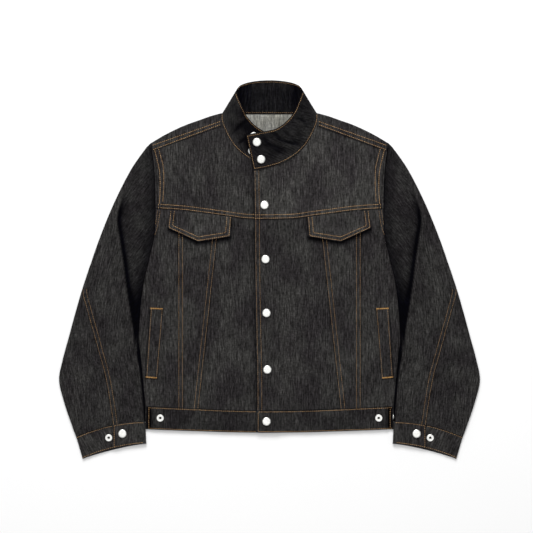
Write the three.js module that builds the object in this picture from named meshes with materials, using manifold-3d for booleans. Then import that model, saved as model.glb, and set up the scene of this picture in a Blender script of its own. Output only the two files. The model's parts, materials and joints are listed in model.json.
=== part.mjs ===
import * as THREE from 'three';
import { mergeVertices } from 'three/addons/utils/BufferGeometryUtils.js';
import Module from 'manifold-3d';

const wasm = await Module();
wasm.setup();

// A denim jacket with a stand collar, laid flat on its back with every snap closed.
// Millimetres. +X is the jacket's left side as worn, +Y runs from hem to collar, and
// z = 0 is the surface it lies on. Each side is worked out in its own coordinates,
// with x measured from the centre line outwards, and the other side is mirrored.

// Cloth and layers
const cloth = 1.4;            // one ply of denim
const bandCloth = 1.8;        // front waistband, flaps and welts, which are doubled
const cuffCloth = 1.5;        // cuffs and back waistband, where they turn round
const collarCloth = 2.2;      // doubled and stiffened collar
const seamGap = 0.3;          // between two pieces that are sewn together
const elbowGap = 0.5;         // wider, because this seam turns over the sleeve's fold
const armholeGap = 0.7;       // the sleeve meets the turned edge of the body here
const frontLevel = 5.2;       // top of the front, lying on the back
const sleeveLevel = 6.4;      // top of a sleeve
const valleyLevel = 3.3;      // sleeve cloth that sinks beside the armhole
const middleLift = 0.7;       // the middle panel is felled over its neighbours
const lapLift = 2.0;          // the overlapping front lies on the other one
const bandTop = 6.3;          // top of the front waistband
const bandLapLift = 2.2;      // doubled cloth on doubled cloth
const lapEnd = 12;            // where the overlap has come down again
const lapFade = 16;
const underLap = -5;          // hidden front edge of the underlapping side

// Rolls where the cloth turns under
const sideRoll = 6;           // width of the body's turned side edge
const turnedInset = 2.6;      // the layer below stops short of a turned edge
const shoulderRoll = 2.7;     // radius of the fold along the shoulders
const sleeveRoll = 3.2;       // radius of the fold down the outside of a sleeve
const cuffInnerRoll = 3.5;
const cuffOuterRoll = 2.5;
const bandRoll = 2.1;

// Snaps
const capRadius = 8.6;
const capHeight = 3.6;
const ringRadius = 7.2;
const ringHole = 2.3;
const ringHeight = 1.5;
const snapSides = 16;

// Edge of the body, from the shoulder round the armhole and down the side
const bodyEdge = [
  { y: 250, x: 237.5 },
  { y: 205, x: 231 },
  { y: 140, x: 228 },
  { y: 88, x: 228 },
  { y: 60, x: 231 },
  { y: 33, x: 237 },
  { y: 3, x: 244 },
  { y: -22, x: 250 },
  { y: -72, x: 257 },
  { y: -130, x: 261 },
  { y: -150, x: 261 },
  { y: -168, x: 258 },
  { y: -200, x: 255 },
  { y: -240, x: 251 },
  { y: -300, x: 246.5 },
];
const armpit = 60;

// Overlapping front edge, and the seams across the front
const lapEdge = [
  { y: 200, x: -31.3 },
  { y: 104, x: -29.8 },
  { y: 40, x: -29.6 },
  { y: -100, x: -27.6 },
  { y: -208, x: -25.4 },
  { y: -330, x: -25 },
];
const yokeSeam = [
  { x: -32, y: 101 },
  { x: 48, y: 101.5 },
  { x: 81, y: 107 },
  { x: 128, y: 115 },
  { x: 174, y: 121 },
  { x: 232, y: 124 },
];
const hemSeam = [
  { x: -32, y: -285 },
  { x: 60, y: -284 },
  { x: 150, y: -280 },
  { x: 250, y: -275.5 },
];
const hemEdge = [
  { x: -32, y: -326.6 },
  { x: 60, y: -326 },
  { x: 150, y: -323.4 },
  { x: 250, y: -319.6 },
];
const bandEnd = 237.5;        // end of the front waistband tab
const backBandEnd = 246;

// The two seams down each front, as x at the yoke and at the hem
const yokeLine = 104;
const hemLine = -282;
const panelRows = 15;
const middleInner = { atYoke: 100, atHem: 142 };
const middleOuter = { atYoke: 183, atHem: 183 };

const neckSeam = new THREE.SplineCurve([
  new THREE.Vector2(-30.4, 199.9),
  new THREE.Vector2(-9, 202.4),
  new THREE.Vector2(17.6, 209),
  new THREE.Vector2(39.4, 219.2),
  new THREE.Vector2(61, 234.6),
  new THREE.Vector2(76, 252.4),
  new THREE.Vector2(87.6, 273.6),
  new THREE.Vector2(95, 292),
]);
const neckSteps = 12;
const underSteps = 2;         // steps of the neck seam that the underlapping side lacks

const shoulderSeam = {
  neck: new THREE.Vector2(98.4, 287.4),
  arm: new THREE.Vector2(234.2, 233.8),
};
const shoulderFold = [
  { along: 0, x: 98.4, y: 311.4 },
  { along: 0.3, x: 140, y: 298 },
  { along: 0.55, x: 172, y: 286.4 },
  { along: 0.8, x: 208, y: 269 },
  { along: 1, x: 237, y: 252 },
];

// Folds pressed into the front, as soft ridges from a start to an end
const frontFolds = [
  { fromX: 214, fromY: 60, toX: 150, toY: -40, width: 26, height: 0.7 },
  { fromX: 236, fromY: -20, toX: 196, toY: -120, width: 22, height: 0.8 },
  { fromX: 60, fromY: 40, toX: 84, toY: -190, width: 30, height: 0.6 },
  { fromX: 206, fromY: -170, toX: 176, toY: -262, width: 24, height: 0.8 },
  { fromX: 110, fromY: 262, toX: 60, toY: 160, width: 26, height: 0.7 },
  { fromX: 206, fromY: 226, toX: 160, toY: 150, width: 24, height: 0.6 },
];

// Chest flap and hand pocket welt, by their corners
const flap = {
  topInner: { x: 76, y: 104.2 },
  topOuter: { x: 199, y: 117.2 },
  lowerInner: { x: 78.8, y: 65 },
  point: { x: 142.6, y: 54.8 },
  lowerOuter: { x: 202.4, y: 82 },
};
const welt = {
  topInner: { x: 213, y: -79 },
  topOuter: { x: 239, y: -78 },
  lowerInner: { x: 224.6, y: -220 },
  lowerOuter: { x: 248, y: -218 },
};

// Sleeve sections from the shoulder to the cuff seam: the outer fold, the inner edge,
// how far the long crease lies from the inner edge, how deep the cloth inside it sinks,
// where the elbow seam lies from the outer fold, how far the inner edge turns under,
// and how far the section bows towards the shoulder.
const sleeveSections = [
  { outerX: 246, outerY: 244, innerX: 237.2, innerY: 241, crease: 4, sink: 0, seam: -6, turn: 0, bow: 0 },
  { outerX: 274, outerY: 202, innerX: 231.2, innerY: 199, crease: 34, sink: 0, seam: -9, turn: 0, bow: 0 },
  { outerX: 299, outerY: 154, innerX: 228.9, innerY: 148, crease: 60, sink: 0.1, seam: -9, turn: 0, bow: 0 },
  { outerX: 321, outerY: 106, innerX: 228.2, innerY: 98, crease: 76, sink: 0.8, seam: -9, turn: 0, bow: 0 },
  { outerX: 340, outerY: 58, innerX: 231.8, innerY: 58, crease: 68, sink: 1, seam: -9, turn: 0, bow: 0 },
  { outerX: 357, outerY: 10, innerX: 242.8, innerY: 10, crease: 50, sink: 1, seam: -5.5, turn: 0, bow: 0 },
  { outerX: 374, outerY: -38, innerX: 253, innerY: -36, crease: 34, sink: 1, seam: 0.5, turn: 0, bow: 0 },
  { outerX: 388, outerY: -86, innerX: 258.7, innerY: -81, crease: 21, sink: 1, seam: 25, turn: 0, bow: 0 },
  { outerX: 401, outerY: -134, innerX: 261.8, innerY: -126, crease: 11, sink: 0.8, seam: 51, turn: 0.2, bow: 0 },
  { outerX: 414, outerY: -182, innerX: 263.4, innerY: -168, crease: 8, sink: 0, seam: 76, turn: 1, bow: 1 },
  { outerX: 421, outerY: -222, innerX: 257.6, innerY: -206, crease: 8, sink: 0, seam: 93, turn: 1, bow: 3 },
  { outerX: 411, outerY: -266, innerX: 253.6, innerY: -244, crease: 8, sink: 0, seam: 91, turn: 1, bow: 5 },
  { outerX: 395, outerY: -314, innerX: 250.2, innerY: -286, crease: 8, sink: 0, seam: 82, turn: 1, bow: 7 },
  { outerX: 387, outerY: -335, innerX: 249.2, innerY: -304.6, crease: 8, sink: 0, seam: 77, turn: 1, bow: 7.6 },
];
const seamTurns = { from: 5, to: 7 };   // rows where the elbow seam comes over the outer fold
const nearSeam = 0.4;         // first point in from the elbow seam, so that the rims face each other
const creaseHalf = 3.2;       // half the width of the step where the sleeve sinks

// Cuff, from its seam to its lower edge, and where its lap ends
const cuff = {
  seam: { outerX: 386.9, outerY: -335.4, innerX: 249.1, innerY: -305, bow: 7.6, lap: 66 },
  edge: { outerX: 374.6, outerY: -377, innerX: 246.2, innerY: -346.6, bow: 6, lap: 65.5 },
};
const cuffUnderlap = 24;
const cuffLapTop = 7;
const cuffUnderTop = 5;
const cuffPress = 0.4;        // the lap presses the end below it down a little
const cuffRows = 4;

// Collar: its top edge above each place along the neck seam, and its height over the floor.
// The overlapping end and the underlapping end differ, and the stretch round the back is shared.
const collarOver = [
  { along: 0, x: -42.4, y: 266, z: 16.8, neckZ: 11 },
  { along: 1 / 6, x: -18, y: 271.8, z: 17.4, neckZ: 10.6 },
  { along: 2 / 6, x: 13, y: 280, z: 18, neckZ: 9.2 },
  { along: 3 / 6, x: 33, y: 294, z: 18.4, neckZ: 7.6 },
  { along: 4 / 6, x: 49, y: 313, z: 19.6, neckZ: 6.6 },
  { along: 5 / 6, x: 58.6, y: 334, z: 20, neckZ: 6.2 },
  { along: 1, x: 64, y: 348.5, z: 19, neckZ: 6 },
];
const collarUnder = [
  { along: 1 / 6, x: 2, y: 270, z: 8, neckZ: 5.4 },
  { along: 2 / 6, x: 27, y: 285.4, z: 9.2, neckZ: 5.6 },
  { along: 3 / 6, x: 44.5, y: 304, z: 12.4, neckZ: 5.8 },
  { along: 4 / 6, x: 53.6, y: 322, z: 16.6, neckZ: 6 },
  { along: 5 / 6, x: 61, y: 338, z: 19, neckZ: 6 },
  { along: 1, x: 65.5, y: 350, z: 18.4, neckZ: 6 },
];
const collarRound = [
  { neckX: 95.8, neckY: 305, neckZ: 5.4, x: 65.2, y: 352.4, z: 15 },
  { neckX: 95, neckY: 310.8, neckZ: 3.6, x: 66.4, y: 356.4, z: 8 },
  { neckX: 92.5, neckY: 311.4, neckZ: 1, x: 63.6, y: 360.6, z: 2 },
  { neckX: 84, neckY: 310.2, neckZ: 0, x: 57, y: 366, z: 0 },
  { neckX: 60, neckY: 309.8, neckZ: 0, x: 43, y: 371.2, z: 0 },
  { neckX: 30, neckY: 309.8, neckZ: 0, x: 22, y: 375.6, z: 0 },
];
const collarBack = { neckX: 0, neckY: 309.8, neckZ: 0, x: 0, y: 377, z: 0 };
const collarBulge = 2.2;      // how far the collar's front bows out between its edges
const collarAcross = 5;
const collarStands = { low: 7, high: 17 };   // it bows where its edge stands up between these
const backNeckSeam = 309.4;

// Places of the snaps
const frontSnaps = [
  { x: -10, y: 128 },
  { x: -8, y: 19.6 },
  { x: -6, y: -88 },
  { x: -4.4, y: -201 },
];
const waistSnap = { x: -6, y: -304.6 };
const waistRing = { x: 218.5, y: -298 };
const collarSnaps = [
  { x: -25.2, y: 253 },
  { x: -16.8, y: 219 },
];
const collarStuds = [
  { x: -32, y: 268.2 },
  { x: -37.4, y: 236.6 },
];
const cuffSnap = { x: 294, y: -329 };
const cuffRing = { x: 321.5, y: -337.5 };
const sideSnap = { x: 246.4, y: -295, z: 6.4, radius: 5.4, height: 2 };

const clamp = THREE.MathUtils.clamp;
const mix = THREE.MathUtils.lerp;
const ramp = THREE.MathUtils.smoothstep;
const quarterTurn = Math.PI / 2;

const denim = { color: '#1f1f21', roughness: 0.92, metalness: 0 };
const steel = { color: '#d9d9d6', roughness: 0.28, metalness: 1 };

const group = new THREE.Group();

function addPiece(name, geometry, finish) {
  const piece = new THREE.Mesh(geometry, new THREE.MeshStandardMaterial(finish));
  piece.name = name;
  group.add(piece);
}

// Value of a column where another column reaches a place, on a smooth curve through the rows
function columnAt(table, key, column, place) {
  const last = table.length - 1;
  const direction = Math.sign(table[last][key] - table[0][key]);
  let row = 0;
  while (row < last - 1 && (place - table[row + 1][key]) * direction > 0) row += 1;
  const [before, start] = [table[Math.max(row - 1, 0)], table[row]];
  const [end, after] = [table[row + 1], table[Math.min(row + 2, last)]];
  const span = end[key] - start[key];
  const f = clamp((place - start[key]) / span, 0, 1);
  const startSlope = ((end[column] - before[column]) / (end[key] - before[key])) * span;
  const endSlope = ((after[column] - start[column]) / (after[key] - start[key])) * span;
  const rise = end[column] - start[column];
  const bend = f * (1 - f);
  const straight = start[column] + rise * f;
  return straight + bend * ((startSlope - rise) * (1 - f) - (endSlope - rise) * f);
}

// All columns of a table between two of its rows, by row number
function rowAt(table, place) {
  const numbered = table.map((row, number) => ({ ...row, number }));
  const row = {};
  for (const column of Object.keys(table[0])) row[column] = columnAt(numbered, 'number', column, place);
  return row;
}

function unitSteps(count) {
  return Array.from({ length: count + 1 }, (_, step) => step / count);
}

// A cloth wall: rows of points on the outer face, and the inner face behind them. Which way
// each point faces comes from its neighbours, unless it is given. Nothing reaches below the
// surface that the jacket lies on.
function clothWall(rows, thickness, turned = false, facings = null) {
  const rowCount = rows.length;
  const pointCount = rows[0].length;
  const outer = rows.flat();
  const facing = turned ? -1 : 1;
  const inner = outer.map((point, index) => {
    const i = Math.floor(index / pointCount);
    const j = index % pointCount;
    const along = rows[Math.min(i + 1, rowCount - 1)][j].clone().sub(rows[Math.max(i - 1, 0)][j]);
    const across = rows[i][Math.min(j + 1, pointCount - 1)].clone().sub(rows[i][Math.max(j - 1, 0)]);
    const normal = facings ? facings[i][j] : along.cross(across).normalize().multiplyScalar(facing);
    const behind = point.clone().addScaledVector(normal, -thickness);
    behind.z = Math.max(behind.z, 0);
    return behind;
  });
  const triangles = [];
  const quad = (a, b, c, d) => {
    if (turned) triangles.push(a, c, b, a, d, c);
    else triangles.push(a, b, c, a, c, d);
  };
  const at = (i, j) => i * pointCount + j;
  const behind = outer.length;
  for (let i = 0; i < rowCount - 1; i += 1) {
    for (let j = 0; j < pointCount - 1; j += 1) {
      quad(at(i, j), at(i + 1, j), at(i + 1, j + 1), at(i, j + 1));
      quad(behind + at(i, j), behind + at(i, j + 1), behind + at(i + 1, j + 1), behind + at(i + 1, j));
    }
  }
  // The two long rims are split the same way, so that neighbours along a seam match
  const rim = (a, b) => quad(b, a, a + behind, b + behind);
  const otherRim = (a, b) => quad(a, a + behind, b + behind, b);
  for (let i = 0; i < rowCount - 1; i += 1) {
    rim(at(i, 0), at(i + 1, 0));
    otherRim(at(i + 1, pointCount - 1), at(i, pointCount - 1));
  }
  for (let j = 0; j < pointCount - 1; j += 1) {
    rim(at(rowCount - 1, j), at(rowCount - 1, j + 1));
    rim(at(0, j + 1), at(0, j));
  }
  const positions = [...outer, ...inner].flatMap((point) => [point.x, point.y, point.z]);
  const geometry = new THREE.BufferGeometry();
  geometry.setAttribute('position', new THREE.Float32BufferAttribute(positions, 3));
  geometry.setIndex(triangles);
  return geometry;
}

// The same piece on the other side of the centre line
function mirrored(geometry) {
  const copy = geometry.clone();
  copy.scale(-1, 1, 1);
  const index = Array.from(copy.index.array);
  for (let i = 0; i < index.length; i += 3) [index[i + 1], index[i + 2]] = [index[i + 2], index[i + 1]];
  copy.setIndex(index);
  return copy;
}

function forSide(side, geometry) {
  return side.sign > 0 ? geometry : mirrored(geometry);
}

function toSolid(geometry) {
  const bare = geometry.clone();
  bare.deleteAttribute('normal');
  bare.deleteAttribute('uv');
  const merged = mergeVertices(bare, 1e-4);
  return new wasm.Manifold(new wasm.Mesh({
    numProp: 3,
    vertProperties: new Float32Array(merged.attributes.position.array),
    triVerts: new Uint32Array(merged.index.array),
  }));
}

function fromSolid(solid) {
  const mesh = solid.getMesh();
  const geometry = new THREE.BufferGeometry();
  geometry.setAttribute('position', new THREE.Float32BufferAttribute(mesh.vertProperties, 3));
  geometry.setIndex(Array.from(mesh.triVerts));
  return geometry;
}

// Top of the front at a place, on one side
function frontHeight(side, x, y) {
  const fromEdge = clamp((columnAt(bodyEdge, 'y', 'x', y) - x) / sideRoll, 0, 1);
  const rolled = Math.sqrt(1 - (1 - fromEdge) ** 2);
  const turns = 1 - ramp(y, armpit - 20, armpit + 14);
  let height = frontLevel * mix(1, rolled, turns);
  for (const fold of frontFolds) {
    const run = new THREE.Vector2(fold.toX - fold.fromX, fold.toY - fold.fromY);
    const away = new THREE.Vector2(x - fold.fromX, y - fold.fromY);
    const along = clamp(away.dot(run) / run.lengthSq(), 0, 1);
    const off = away.clone().addScaledVector(run, -along).length() / fold.width;
    height += fold.height * Math.sin(Math.PI * along) * Math.exp(-off * off) * fromEdge;
  }
  if (side.laps) height += lapLift * (1 - ramp(x, lapEnd, lapEnd + lapFade));
  return height;
}

function frontPoint(side, x, y, lift = 0) {
  return new THREE.Vector3(x, y, frontHeight(side, x, y) + lift);
}

function centreEdge(side, y) {
  return side.laps ? columnAt(lapEdge, 'y', 'x', y) : underLap;
}

function panelSeam(seam, y) {
  return mix(seam.atHem, seam.atYoke, (y - hemLine) / (yokeLine - hemLine));
}

// A panel of the front from the hem seam up to the yoke seam. The edges are functions of
// y, and the columns are given as functions that place them between the edges.
function frontPanel(side, innerAt, outerAt, columns, lift = 0) {
  const rows = unitSteps(panelRows).map((up) => {
    const lineY = mix(hemLine, yokeLine + 8, up);
    const inner = innerAt(lineY);
    const outer = outerAt(lineY);
    return columns.map((column) => {
      const near = column(inner, outer);
      const low = columnAt(hemSeam, 'x', 'y', near) + seamGap / 2;
      const high = columnAt(yokeSeam, 'x', 'y', near) - seamGap / 2;
      const y = mix(low, high, up);
      return frontPoint(side, column(innerAt(y), outerAt(y)), y, lift);
    });
  });
  return clothWall(rows, cloth, true);
}

function evenColumns(count) {
  return unitSteps(count).map((step) => (inner, outer) => mix(inner, outer, step));
}

// Columns that crowd towards the outer edge, where the cloth turns under
const flatEnd = sideRoll + 2;
const rollShares = [0.55, 0.25, 0.07, 0];
const rollColumns = [
  ...unitSteps(3).map((step) => (inner, outer) => mix(inner, outer - flatEnd, step)),
  ...rollShares.map((off) => (inner, outer) => outer - off * sideRoll),
];

function buildFrontPanels(side) {
  const half = seamGap / 2;
  const centre = frontPanel(
    side,
    (y) => centreEdge(side, y),
    (y) => panelSeam(middleInner, y) - half,
    evenColumns(7),
  );
  const middle = frontPanel(
    side,
    (y) => panelSeam(middleInner, y) + half,
    (y) => panelSeam(middleOuter, y) - half,
    evenColumns(4),
    middleLift,
  );
  const outside = frontPanel(
    side,
    (y) => panelSeam(middleOuter, y) + half,
    (y) => columnAt(bodyEdge, 'y', 'x', y),
    rollColumns,
  );
  addPiece(`front_centre_${side.name}`, forSide(side, centre), denim);
  addPiece(`front_middle_${side.name}`, forSide(side, middle), denim);
  addPiece(`front_side_${side.name}`, forSide(side, outside), denim);
}

// Upper edge of the yoke: along the neck seam, then along the shoulder seam
function yokeColumns(side) {
  const columns = [];
  const neckFoot = 86;
  const armFootAt = 228;
  const first = side.laps ? 0 : underSteps;
  for (let step = first; step <= neckSteps; step += 1) {
    const place = (step - first) / (neckSteps - first);
    const top = neckSeam.getPoint(step / neckSteps);
    const shift = step === neckSteps ? 0 : seamGap;
    top.x += shift;
    top.y -= shift;
    columns.push({ x: mix(centreEdge(side, yokeLine), neckFoot, place), top });
  }
  const shoulderSteps = 7;
  for (let step = 0; step <= shoulderSteps; step += 1) {
    const place = step / shoulderSteps;
    const top = shoulderSeam.neck.clone().lerp(shoulderSeam.arm, place);
    top.y -= seamGap;
    const foot = columnAt(bodyEdge, 'y', 'x', columnAt(yokeSeam, 'x', 'y', armFootAt));
    columns.push({ x: mix(neckFoot + 4, foot, place), top });
  }
  return columns;
}

function buildYoke(side) {
  const upRows = 5;
  const rows = unitSteps(upRows).map((up) => yokeColumns(side).map(({ x, top }, number, all) => {
    const low = columnAt(yokeSeam, 'x', 'y', x) + seamGap / 2;
    const y = mix(low, top.y, up);
    const atArm = number === all.length - 1;
    return frontPoint(side, atArm ? columnAt(bodyEdge, 'y', 'x', y) : mix(x, top.x, up), y);
  }));
  addPiece(`front_yoke_${side.name}`, forSide(side, clothWall(rows, cloth, true)), denim);
}

// The flap lies on the panels under the yoke seam, with a blunt point below
function buildFlap(side) {
  const pointAt = 5;
  const acrossSteps = 9;
  const lower = (step) => {
    const inward = step <= pointAt;
    const from = inward ? flap.lowerInner : flap.point;
    const to = inward ? flap.point : flap.lowerOuter;
    const place = inward ? step / pointAt : (step - pointAt) / (acrossSteps - pointAt);
    return { x: mix(from.x, to.x, place), y: mix(from.y, to.y, place) };
  };
  const lift = middleLift + seamGap + bandCloth;
  const rows = unitSteps(4).map((down) => unitSteps(acrossSteps).map((place, step) => {
    const foot = lower(step);
    const x = mix(mix(flap.topInner.x, flap.topOuter.x, place), foot.x, down);
    const y = mix(mix(flap.topInner.y, flap.topOuter.y, place), foot.y, down);
    return frontPoint(side, x, y, lift);
  }));
  addPiece(`pocket_flap_${side.name}`, forSide(side, clothWall(rows, bandCloth)), denim);
}

function buildWelt(side) {
  const { topInner, topOuter, lowerInner, lowerOuter } = welt;
  const rows = unitSteps(8).map((down) => unitSteps(3).map((place) => {
    const x = mix(mix(topInner.x, topOuter.x, place), mix(lowerInner.x, lowerOuter.x, place), down);
    const y = mix(mix(topInner.y, topOuter.y, place), mix(lowerInner.y, lowerOuter.y, place), down);
    return frontPoint(side, x, y, seamGap + bandCloth);
  }));
  addPiece(`pocket_welt_${side.name}`, forSide(side, clothWall(rows, bandCloth)), denim);
}

function bandHeight(side, x) {
  const lap = side.laps ? 1 - ramp(x, lapEnd, lapEnd + lapFade) : 0;
  return bandTop + bandLapLift * lap;
}

function bandPoint(side, x, down) {
  const high = columnAt(hemSeam, 'x', 'y', x) - seamGap;
  const low = columnAt(hemEdge, 'x', 'y', x);
  return new THREE.Vector3(x, mix(high, low, down), bandHeight(side, x));
}

function buildFrontBand(side) {
  const start = centreEdge(side, -300);
  const rows = unitSteps(3).map((down) => unitSteps(12).map((place) => (
    bandPoint(side, mix(start, bandEnd, place), down))));
  addPiece(`front_waistband_${side.name}`, forSide(side, clothWall(rows, bandCloth)), denim);
}

// The back waistband lies on the floor, and its ends turn up and in under the front tabs
function buildBackBand() {
  const tuck = 10;
  const turnSteps = 6;
  const end = [];
  end.push({ x: backBandEnd - bandRoll - tuck, z: 2 * bandRoll });
  for (let step = 0; step <= turnSteps; step += 1) {
    const angle = quarterTurn - (Math.PI * step) / turnSteps;
    end.push({
      x: backBandEnd - bandRoll + bandRoll * Math.cos(angle),
      z: bandRoll + bandRoll * Math.sin(angle),
    });
  }
  const flat = [190, 120, 60].map((x) => ({ x, z: 0 }));
  const half = [...end, ...flat];
  const section = [
    ...half.map(({ x, z }) => ({ x: -x, z })),
    { x: 0, z: 0 },
    ...half.slice().reverse(),
  ];
  const rows = unitSteps(3).map((down) => section.map(({ x, z }) => {
    const point = bandPoint({ laps: false }, Math.abs(x), down);
    return new THREE.Vector3(x, point.y, z);
  }));
  addPiece('back_waistband', clothWall(rows, cuffCloth, true), denim);
}

// A strip of each shoulder comes over from the back to the shoulder seam
function shoulderStrip() {
  const foldSteps = 6;
  const foot = 9;
  const crown = { share: 0.55, rise: 0.3 };
  const rows = unitSteps(8).map((along) => {
    const seam = shoulderSeam.neck.clone().lerp(shoulderSeam.arm, along);
    const fold = new THREE.Vector2(
      columnAt(shoulderFold, 'along', 'x', along),
      columnAt(shoulderFold, 'along', 'y', along),
    );
    const reach = fold.distanceTo(seam);
    const inward = seam.clone().sub(fold).divideScalar(reach);
    const section = [
      { off: reach, z: frontLevel },
      { off: reach * crown.share, z: frontLevel + crown.rise },
    ];
    for (let step = 0; step <= foldSteps; step += 1) {
      const angle = quarterTurn - (Math.PI * step) / foldSteps;
      section.push({
        off: shoulderRoll - shoulderRoll * Math.cos(angle),
        z: shoulderRoll + shoulderRoll * Math.sin(angle),
      });
    }
    section.push({ off: foot, z: 0 });
    return section.map(({ off, z }) => (
      new THREE.Vector3(fold.x + inward.x * off, fold.y + inward.y * off, z)));
  });
  return clothWall(rows, cloth);
}

function buildBack() {
  const neckStart = 90;
  const neckCorner = 98.4;
  const insideFold = 5;
  const outline = [
    { x: 0, y: backNeckSeam },
    { x: neckStart, y: backNeckSeam },
    { x: neckCorner, y: backNeckSeam - insideFold },
  ];
  for (const along of unitSteps(8)) {
    outline.push({
      x: columnAt(shoulderFold, 'along', 'x', along),
      y: columnAt(shoulderFold, 'along', 'y', along) - insideFold,
    });
  }
  const sideSteps = 26;
  const sideTop = 245;
  const sideBottom = -275.4;
  for (let step = 1; step <= sideSteps; step += 1) {
    const y = mix(sideTop, sideBottom, step / sideSteps);
    const inset = turnedInset * (1 - ramp(y, armpit - 20, armpit + 14));
    outline.push({ x: columnAt(bodyEdge, 'y', 'x', y) - inset, y });
  }
  for (const x of [200, 150, 100, 50, 0]) {
    outline.push({ x, y: columnAt(hemSeam, 'x', 'y', x) + seamGap });
  }
  const shape = new THREE.Shape();
  shape.moveTo(outline[0].x, outline[0].y);
  for (const point of outline.slice(1)) shape.lineTo(point.x, point.y);
  for (const point of outline.slice(1, -1).reverse()) shape.lineTo(-point.x, point.y);
  const plate = new THREE.ExtrudeGeometry(shape, { depth: cloth, bevelEnabled: false });
  const strip = shoulderStrip();
  const back = toSolid(plate).add(toSolid(strip)).add(toSolid(mirrored(strip)));
  addPiece('back_panel', fromSolid(back), denim);
}

// A sleeve section is a flattened loop. A place on it is measured from the outer fold,
// plus on the upper layer and minus on the layer that lies on the floor.
function sleevePoint(section, place) {
  const outer = new THREE.Vector2(section.outerX, section.outerY);
  const inner = new THREE.Vector2(section.innerX, section.innerY);
  const width = outer.distanceTo(inner);
  const foldHalf = sleeveRoll * quarterTurn;
  let off;
  let z;
  if (Math.abs(place) < foldHalf) {
    const angle = place / sleeveRoll;
    off = sleeveRoll - sleeveRoll * Math.cos(angle);
    z = sleeveRoll + sleeveRoll * Math.sin(angle);
  } else {
    off = sleeveRoll + Math.abs(place) - foldHalf;
    const fromInner = width - off;
    const sunk = 1 - ramp(fromInner, section.crease - 3, section.crease + 3);
    const turned = Math.sqrt(1 - (1 - clamp(fromInner / sideRoll, 0, 1)) ** 2);
    const level = mix(sleeveLevel, valleyLevel, clamp(section.sink, 0, 1) * sunk);
    z = place > 0 ? level * mix(1, turned, clamp(section.turn, 0, 1)) : 0;
  }
  const across = off / width;
  const point = outer.lerp(inner, across);
  return new THREE.Vector3(point.x, point.y + section.bow * 4 * across * (1 - across), z);
}

// A section between the rows of the table, just clear of the body's edge
function sleeveSectionAt(place) {
  const section = rowAt(sleeveSections, clamp(place, 0, sleeveSections.length - 1));
  const bodySide = columnAt(bodyEdge, 'y', 'x', section.innerY);
  section.innerX = Math.max(section.innerX, bodySide + armholeGap);
  return section;
}

// Which way the sleeve's outer face looks
function sleeveFacing(row, place) {
  const near = 0.05;
  const before = sleevePoint(sleeveSectionAt(row - near), place);
  const along = sleevePoint(sleeveSectionAt(row + near), place).sub(before);
  const section = sleeveSectionAt(row);
  const across = sleevePoint(section, place - near).sub(sleevePoint(section, place + near));
  return along.cross(across).normalize();
}

function sleeveWidth(section) {
  return Math.hypot(section.outerX - section.innerX, section.outerY - section.innerY);
}

// Places across a stretch of the section, in order, without their starts
function between(start, end, count) {
  return unitSteps(count).slice(1).map((step) => mix(start, end, step));
}

function buildSleeve(side) {
  const last = sleeveSections.length - 1;
  const foldHalf = sleeveRoll * quarterTurn;
  const top = { points: [], facings: [] };
  const under = { points: [], facings: [] };
  for (let row = 0; row <= last; row += row >= seamTurns.from && row < seamTurns.to ? 0.25 : 0.5) {
    const section = sleeveSectionAt(row);
    const reach = sleeveWidth(section) - sleeveRoll + foldHalf;
    const crease = reach - section.crease;
    const seam = section.seam;
    const creaseIn = Math.min(crease + creaseHalf, reach - 0.8);
    const creaseOut = Math.max(crease - creaseHalf, foldHalf + 4.4);
    const landing = Math.max(seam + 3, foldHalf);
    const across = [
      reach,
      ...between(reach, creaseIn, 2),
      ...between(creaseIn, creaseOut, 3),
      ...between(creaseOut, landing, 3),
      ...between(landing, seam + nearSeam, 3),
      seam,
    ];
    top.points.push(across.map((place) => sleevePoint(section, place)));
    top.facings.push(across.map((place) => sleeveFacing(row, place)));
    const inset = turnedInset * Math.sqrt(clamp(section.turn, 0, 1));
    const start = seam - elbowGap;
    const floorEnd = inset - reach;
    const floorStart = Math.max(-Math.max(foldHalf + 1, 8 - start), floorEnd + 0.3);
    const afterSeam = start - nearSeam;
    const onFold = unitSteps(5).map((turn) => mix(foldHalf, -foldHalf, turn));
    const overFold = [mix(start, foldHalf, 0.5), ...onFold];
    const round = overFold.map((spot, number) => (
      Math.min(spot, afterSeam - nearSeam * (number + 1))));
    const floor = [floorStart, ...between(floorStart, floorEnd, 3)];
    const below = [start, afterSeam, ...round, ...floor];
    under.points.push(below.map((place) => sleevePoint(section, place)));
    under.facings.push(below.map((place) => sleeveFacing(row, place)));
  }
  for (const [name, layer] of [['top_sleeve', top], ['under_sleeve', under]]) {
    const wall = clothWall(layer.points, cloth, false, layer.facings);
    addPiece(`${name}_${side.name}`, forSide(side, wall), denim);
  }
}

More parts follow.
